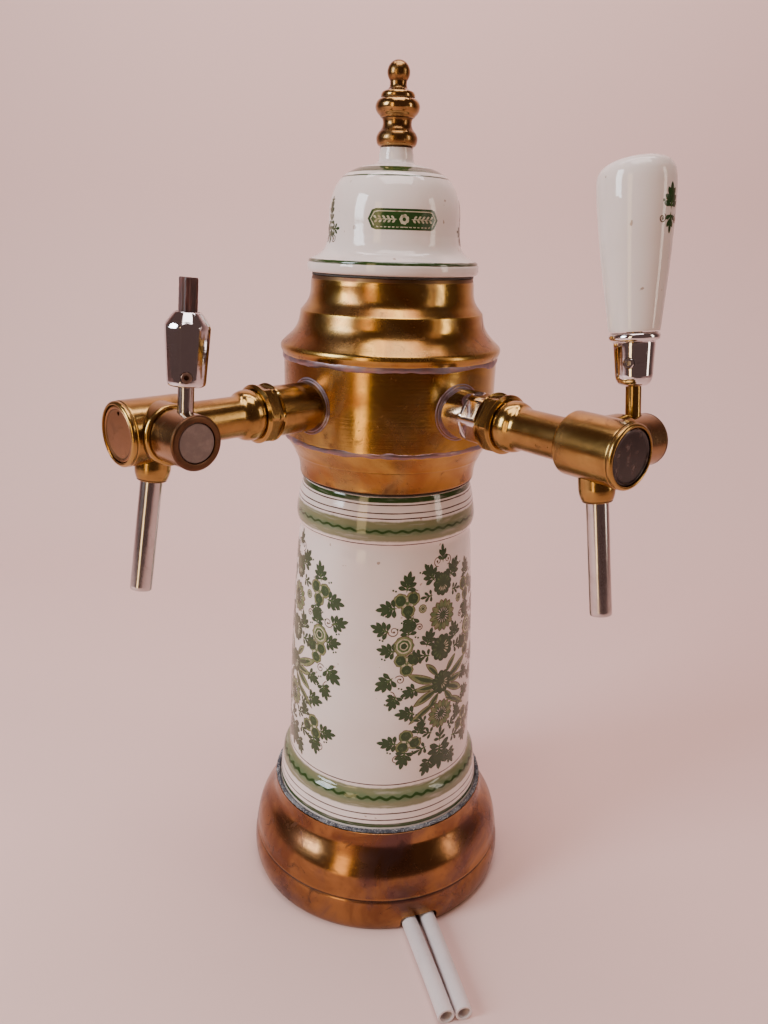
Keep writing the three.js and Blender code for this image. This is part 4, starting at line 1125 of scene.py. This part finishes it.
# ------------------------------------------------------------------ tap bodies
# Cast and turned brass: a pipe that widens to the valve body, a side boss for the lever's spindle,
# a screwed end cap, and below a cone with the steel spout.
LEVER_X = 184
cap_brass = aged_metal("cap_brass", (0.40, 0.21, 0.09), (0.28, 0.13, 0.055), (0.08, 0.04, 0.025), 0.5, 0.3,
                       0.24)
black_cap, tree, surface = new_material("black_cap")
place = node(tree, "ShaderNodeAttribute", {"attribute_name": "turning"}).outputs["Vector"]
rub = ramp(tree, noise(tree, place, 130.0, 5.0, 0.6), 0.5, 0.75)
link(tree, mixed(tree, rub, (0.022, 0.014, 0.013, 1), (0.10, 0.06, 0.05, 1)), surface.inputs["Base Color"])
link(tree, ramp(tree, rub, 0, 1, 0.16, 0.4), surface.inputs["Roughness"])
lathe_lines = noise(tree, stretched(tree, place, (30.0, 30.0, 600.0)), 1.0)
link(tree, bump(tree, lathe_lines, 0.1, 0.0002), surface.inputs["Normal"])
steel = aged_metal("spout_steel", (0.62, 0.58, 0.57), (0.42, 0.37, 0.35), (0.18, 0.13, 0.11), 0.4, 0.2, 0.12)

for side, place in tap_place.items():
    lathe = place @ TAKE_FROM_Z_TO_X
    across = place @ Matrix.Translation((LEVER_X * MM, 0, 0)) @ TAKE_FROM_Z_TO_Y
    body_outline = [(0, 109.5), (12.5, 109.5), (12.5, 115)]
    body_outline += rounded([(15.6, 115, 0.4), (16.2, 116.4, 0.6)], 3)
    body_outline += flow([(16.25, 118), (16.1, 121), (15.2, 124), (13.6, 126.6), (13.05, 129)], 12)
    body_outline += flow([(13, 132), (13, 158), (13.05, 164)], 5)
    body_outline += flow([(13.2, 165.2), (14.4, 166.1), (17.2, 166.4)], 6)
    body_outline += rounded([(18.2, 166.5, 0.3), (19, 167.6, 0.5), (19, 204.4, 0.1), (18.6, 204.7, 0.1),
                             (18.6, 205.2, 0.1), (18.9, 205.5, 0.1), (18.9, 206.9, 0.5), (17.9, 208, 0.5),
                             (16.9, 208, 0.3)], 3)
    body_outline += [(16.6, 207.7), (16.6, 201), (10, 201), (10, 166), (0, 166)]
    body = turned(f"{side}_tap", body_outline, 128, lathe, step=0.9)
    boss_outline = [(0, 2), (17.8, 2), (17.8, 19.6)] + flow([(17.7, 20.3), (17.2, 21.2), (16.4, 21.7)], 6)
    boss_outline += [(0, 21.7)]
    cut_out(body, turned("boss", boss_outline, 128, across, step=0.9), "UNION")
    cut_out(body, turned("way", [(0, 5), (7, 5), (7, 25), (0, 25)], 48, across))
    wrap_up(body, tap_brass, "tower", "brass", f"{side}_tap_body", axis=lathe, smooth=28)

    cap_outline = [(0, 199), (9.6, 199), (9.6, 202.4), (16.2, 202.4), (16.2, 206.3)]
    cap_outline += flow([(16.1, 206.9), (15.5, 207.3), (14.7, 207.2)], 5)
    cap_outline += [(14.4, 206.8), (14.0, 206.75), (0, 206.9)]
    cap = turned(f"{side}_cap", cap_outline, 96, lathe, step=0.9)
    if side == "left":
        pin_hole = lathe @ Matrix.Translation((-12.2 * MM, 1.5 * MM, 0))
        cut_out(cap, turned("hole", [(0, 204), (1.25, 204), (1.25, 209), (0, 209)], 24, pin_hole))
    cap_finish, cap_slot = (cap_brass, "brass") if side == "left" else (black_cap, "black_plastic")
    wrap_up(cap, cap_finish, "tower", cap_slot, f"{side}_end_cap", axis=lathe, smooth=30)
    nodes[f"{side}_end_cap_seal"].material_slots[0].material = rubber

    spout = (place @ Matrix.Translation((183 * MM, 0, 0)) @ Matrix.Rotation(math.radians(-10), 4, "Y")
             @ Matrix.Rotation(math.pi, 4, "X"))
    cone_outline = [(6.8, 12), (10.5, 12), (10.5, 23)] + flow([(10.4, 24), (10, 26.4), (9.2, 29)], 6)
    cone_outline += rounded([(8.8, 30.2, 0.4), (7.9, 31, 0.4), (6.8, 31, 0.2)], 3)
    cone = turned(f"{side}_cone", cone_outline, 72, spout, closed=True, step=0.8)
    cut_out(cone, turned("bulk", [(0, 150), (19.15, 150), (19.15, 220), (0, 220)], 128, lathe, step=60))
    cut_out(cone, turned("bulk", [(0, -2), (17.95, -2), (17.95, 21.9), (0, 21.9)], 128, across, step=60))
    wrap_up(cone, tap_brass, "tower", "brass", f"{side}_spout_socket", axis=spout, smooth=28)
    tube_outline = [(5.5, 21.5), (6.5, 21.5), (6.5, 97.6), (6.3, 98), (5.7, 98), (5.5, 97.7)]
    wrap_up(turned(f"{side}_spout", tube_outline, 64, spout, closed=True, step=2), steel, "tower", "steel",
            f"{side}_spout_tube", axis=spout)
    for name in ("spindle", "piston"):
        nodes[f"{side}_{name}"].material_slots[0].material = valve_steel
    nodes[f"{side}_piston_seal"].material_slots[0].material = rubber

# ------------------------------------------------------------------ levers
# A drum turns on each boss and carries the lever's stem. Its open face is a rim coloured dark brown
# as painted shade and dark reflection, round a pressed-in disc.
LEAN = {"left": 4.8, "right": 7.5}
lever_place = {side: tap_place[side] @ Matrix.Translation((LEVER_X * MM, 0, 0))
               @ Matrix.Rotation(math.radians(-LEAN[side]), 4, "Y") for side in LEAN}
grip_place = {side: place @ Matrix.Translation((0, 32.5 * MM, 0)) for side, place in lever_place.items()}
drum_brass = aged_metal("lever_brass", (0.38, 0.23, 0.10), (0.22, 0.12, 0.05), (0.07, 0.035, 0.022),
                        0.8, 0.4, 0.16, smoke=(0.17, 0.12, 0.10))
# Painted shade and dark reflection for the drum's front rim: brass coloured near-black brown.
painted_shade_rim = aged_metal("painted_shade_rim", (0.13, 0.065, 0.035), (0.07, 0.035, 0.02), (0.04, 0.02, 0.015), 0.5, 0.4,
                      0.35)
disc, tree, surface = new_material("pressed_disc")
place = node(tree, "ShaderNodeAttribute", {"attribute_name": "turning"}).outputs["Vector"]
rub = ramp(tree, noise(tree, place, 160.0, 5.0, 0.65), 0.4, 0.7)
link(tree, mixed(tree, rub, (0.17, 0.12, 0.105, 1), (0.24, 0.175, 0.155, 1)), surface.inputs["Base Color"])
link(tree, ramp(tree, rub, 0, 1, 0.38, 0.55), surface.inputs["Roughness"])
link(tree, bump(tree, noise(tree, place, 700.0, 3.0), 0.25, 0.0002), surface.inputs["Normal"])
stem_end = {"left": 54, "right": 88}

for side, place in lever_place.items():
    body = f"{side}_lever"
    across = place @ TAKE_FROM_Z_TO_Y
    drum_outline = [(0, 40), (6.8, 40), (6.8, 22.1), (14.9, 22.1), (15.5, 22.4), (15.7, 23)]
    drum_outline += rounded([(15.7, 44.4, 0.2), (14.9, 45.5, 0.9), (11.7, 45.5, 0.3), (11.5, 44.9, 0.2)], 4)
    drum_outline += [(11.5, 43.1), (0, 43.1)]
    knob = turned(f"{side}_knob", drum_outline, 96, across, step=0.9)
    cut_out(knob, turned("stem_hole", [(0, 6), (4.8, 6), (4.8, 20), (0, 20)], 32, grip_place[side]))
    wrap_up(knob, drum_brass, body, "brass", f"{side}_lever_drum", axis=across, smooth=30)
    # The front rim's faces take the dark brown painted shade and reflection.
    knob.data.materials.append(painted_shade_rim)
    face_line = across.inverted()
    for face in knob.data.polygons:
        if (face_line @ face.center).z > 44.4 * MM:
            face.material_index = 1
    plug_outline = [(0, 43.4), (11.1, 43.4), (11.1, 44.6), (10.7, 45), (0, 45)]
    wrap_up(turned(f"{side}_disc", plug_outline, 72, across, step=0.9), disc, body, "plug_plastic",
            f"{side}_drum_plug", axis=across, smooth=30)
    finish, slot = (steel, "steel") if side == "left" else (tap_brass, "brass")
    stem_outline = [(0, 7.5), (4.5, 7.5), (4.5, stem_end[side] - 0.5), (4.1, stem_end[side]),
                    (0, stem_end[side])]
    wrap_up(turned(f"{side}_stem", stem_outline, 48, grip_place[side], step=2), finish, body, slot,
            f"{side}_lever_stem", axis=grip_place[side])

# ------------------------------------------------------------------ left handle
# The handle is lost. A chromed octagonal ferrule is left, with a rusty grub screw and the ribbed end
# of the handle's core.
left_grip = grip_place["left"]


def flat_distance(z):
    """How far the ferrule's flats stand from its axis: they widen upwards."""
    return 10.35 + 1.55 * min(max((z - 31) / 29, 0), 1)


OCTAGON = flatted(flat_distance, 8, math.radians(22.5 - 3))


def worn_octagon(radius, z, angle):
    """Eight flats polished down to soft crowns, and a round bore."""
    if radius <= 7:
        return np.full(len(angle), radius)
    return 0.55 * OCTAGON(radius, z, angle) + 0.45 * (radius - 0.5)


def ribbed(radius, z, angle):
    """Twelve shallow flutes."""
    return np.full(len(angle), radius) * (1 - 0.035 * (1 + np.cos(12 * angle)))


ferrule_side = [(4.9, 29.5), (8.7, 29.5)] + flow([(9.4, 29.7), (10.7, 30.7), (11.2, 32.3)], 6)
ferrule_side += flow([(11.4, 34), (12.2, 46), (12.95, 58), (13.05, 60.6)], 6) + [(12.9, 61.5)]
ferrule_side += flow([(12.3, 62.6), (10.6, 65.2), (8.7, 67.7), (7.7, 68.9)], 8)
ferrule_side += rounded([(7.3, 69.3, 0.2), (6.1, 69.3, 0.4)], 3)
ferrule_side += [(5.5, 68.4), (5.5, 56.2), (4.9, 56.2)]
ferrule = turned("octagon_ferrule", ferrule_side, 128, left_grip, closed=True, step=0.5, shape=worn_octagon)
screw_way = (left_grip @ Matrix.Rotation(1.02, 4, "Z") @ Matrix.Translation((0, 0, 35.2 * MM))
             @ TAKE_FROM_Z_TO_X)
cut_out(ferrule, turned("way", [(0, 3), (3.3, 3), (3.3, 20), (0, 20)], 32, screw_way))
wrap_up(ferrule, chrome, "left_lever", "chrome", "left_ferrule", axis=left_grip, smooth=20)
rust = aged_metal("rusty_screw", (0.36, 0.24, 0.19), (0.18, 0.10, 0.07), (0.07, 0.035, 0.02), 0.9, 0.8, 0.3)
grub = turned("left_grub", [(0, 4.9), (3, 4.9), (3, 10.5), (2.6, 10.9), (0, 10.9)], 32, screw_way, step=0.7)
cut_out(grub, turned("key", [(0, 9), (1.5, 9), (1.5, 12), (0, 12)], 6, screw_way))
wrap_up(grub, rust, "left_lever", "rusty_steel", "left_set_screw", axis=screw_way)

core_stub, tree, surface = new_material("core_stub")
place = node(tree, "ShaderNodeAttribute", {"attribute_name": "turning"}).outputs["Vector"]
fibre = noise(tree, stretched(tree, place, (500.0, 500.0, 60.0)), 1.0, 4.0, 0.6)
link(tree, mixed(tree, ramp(tree, fibre, 0.35, 0.65), (0.035, 0.010, 0.010, 1), (0.11, 0.035, 0.03, 1)),
     surface.inputs["Base Color"])
link(tree, ramp(tree, fibre, 0.3, 0.7, 0.45, 0.7), surface.inputs["Roughness"])
link(tree, bump(tree, fibre, 0.5, 0.0004), surface.inputs["Normal"])
stub = turned("core_end", [(0, 56.5), (5.0, 56.5), (5.2, 57), (5.2, 86.2), (4.9, 87), (0, 87)], 96, left_grip,
              step=0.8, shape=ribbed)
roughen(stub, 0.12 * MM, 300)
wrap_up(stub, core_stub, "left_lever", "stub_wood", "left_handle_stub", axis=left_grip, smooth=50)

# ------------------------------------------------------------------ right handle
# Glazed white ceramic pull on a chromed cup and ring, with a small green sprig fired on its side.
right_grip = grip_place["right"]
cup_outline = [(4.9, 32.6), (6.1, 32.6)] + flow([(7.4, 32.8), (9.3, 34.2), (10.5, 37)], 8)
cup_outline += flow([(10.8, 38.6), (11.3, 47), (11.9, 55.6)], 5) + [(11.9, 57.1), (11.6, 57.4), (4.9, 57.4)]
cup = turned("handle_cup", cup_outline, 96, right_grip, closed=True, step=0.8)
cup_way = right_grip @ Matrix.Rotation(-1.2, 4, "Z") @ Matrix.Translation((0, 0, 46 * MM)) @ TAKE_FROM_Z_TO_X
cut_out(cup, turned("way", [(0, 3), (3.3, 3), (3.3, 20), (0, 20)], 32, cup_way))
wrap_up(cup, chrome, "right_lever", "chrome", "right_ferrule", axis=right_grip, smooth=28)
socket_screw = turned("right_grub", [(0, 4.9), (3, 4.9), (3, 11.0), (2.6, 11.4), (0, 11.4)], 32, cup_way,
                      step=0.7)
cut_out(socket_screw, turned("key", [(0, 9), (1.5, 9), (1.5, 12), (0, 12)], 6, cup_way))
wrap_up(socket_screw, chrome, "right_lever", "chrome", "right_set_screw", axis=cup_way)
ring_outline = [(4.9, 57.7), (12.1, 57.7)]
ring_outline += [(12.1 + 2.4 * math.cos(a), 60.3 + 2.55 * math.sin(a))
                 for a in np.linspace(-math.pi / 2, math.pi / 2, 16)]
ring_outline += [(4.9, 62.9)]
wrap_up(turned("handle_ring", ring_outline, 96, right_grip, closed=True, step=0.8), chrome, "right_lever",
        "chrome", "right_handle_ring", axis=right_grip, smooth=30)

CROWN_START = 136
HANDLE_SIDE = flow([(14.4, 64), (15.7, 75), (18.9, 103), (21.1, 130), (21.5, 142)], 30)
handle_outline = [(0, 92), (4.8, 92), (4.8, 63.3)] + rounded([(14.1, 63.3, 0.6)]) + HANDLE_SIDE
handle_outline += flow([(21.4, 145), (20.6, 149.2), (18.2, 153), (14, 155.6), (7.8, 157)], 20) + [(0, 157.4)]
handle = turned("white_handle", handle_outline, 128, Matrix.Identity(4), step=1.5)
for point in handle.data.vertices:
    above = max(point.co.z / MM - CROWN_START, 0) / 22
    point.co.z += above ** 2 * 0.09 * (point.co.x - 18 * MM)
handle.data.transform(right_grip)
handle_glaze = glazed("handle_glaze", [])
wrap_up(handle, handle_glaze, "right_lever", "glaze", "right_handle", axis=right_grip, smooth=50)


def handle_sprig():
    """A small upright sprig between two dots."""
    strokes = palmette(0 + 128j, 1.57, 9, 7, 2.2) + palmette(0 + 124j, -1.57, 7, 5, 1.8)
    strokes += curl(6.5 + 122j, 2.6, 2.0) + curl(-6.5 + 122j, 2.6, 1.1, 1.3, -1)
    return strokes + [(scallop(side * 6 + 131j, 0.8), 1, LEAF) for side in (-1, 1)]


brushed("handle_sprig", handle_sprig(), HANDLE_SIDE, math.radians(95), brush_green, "glaze", "right_lever",
        right_grip)
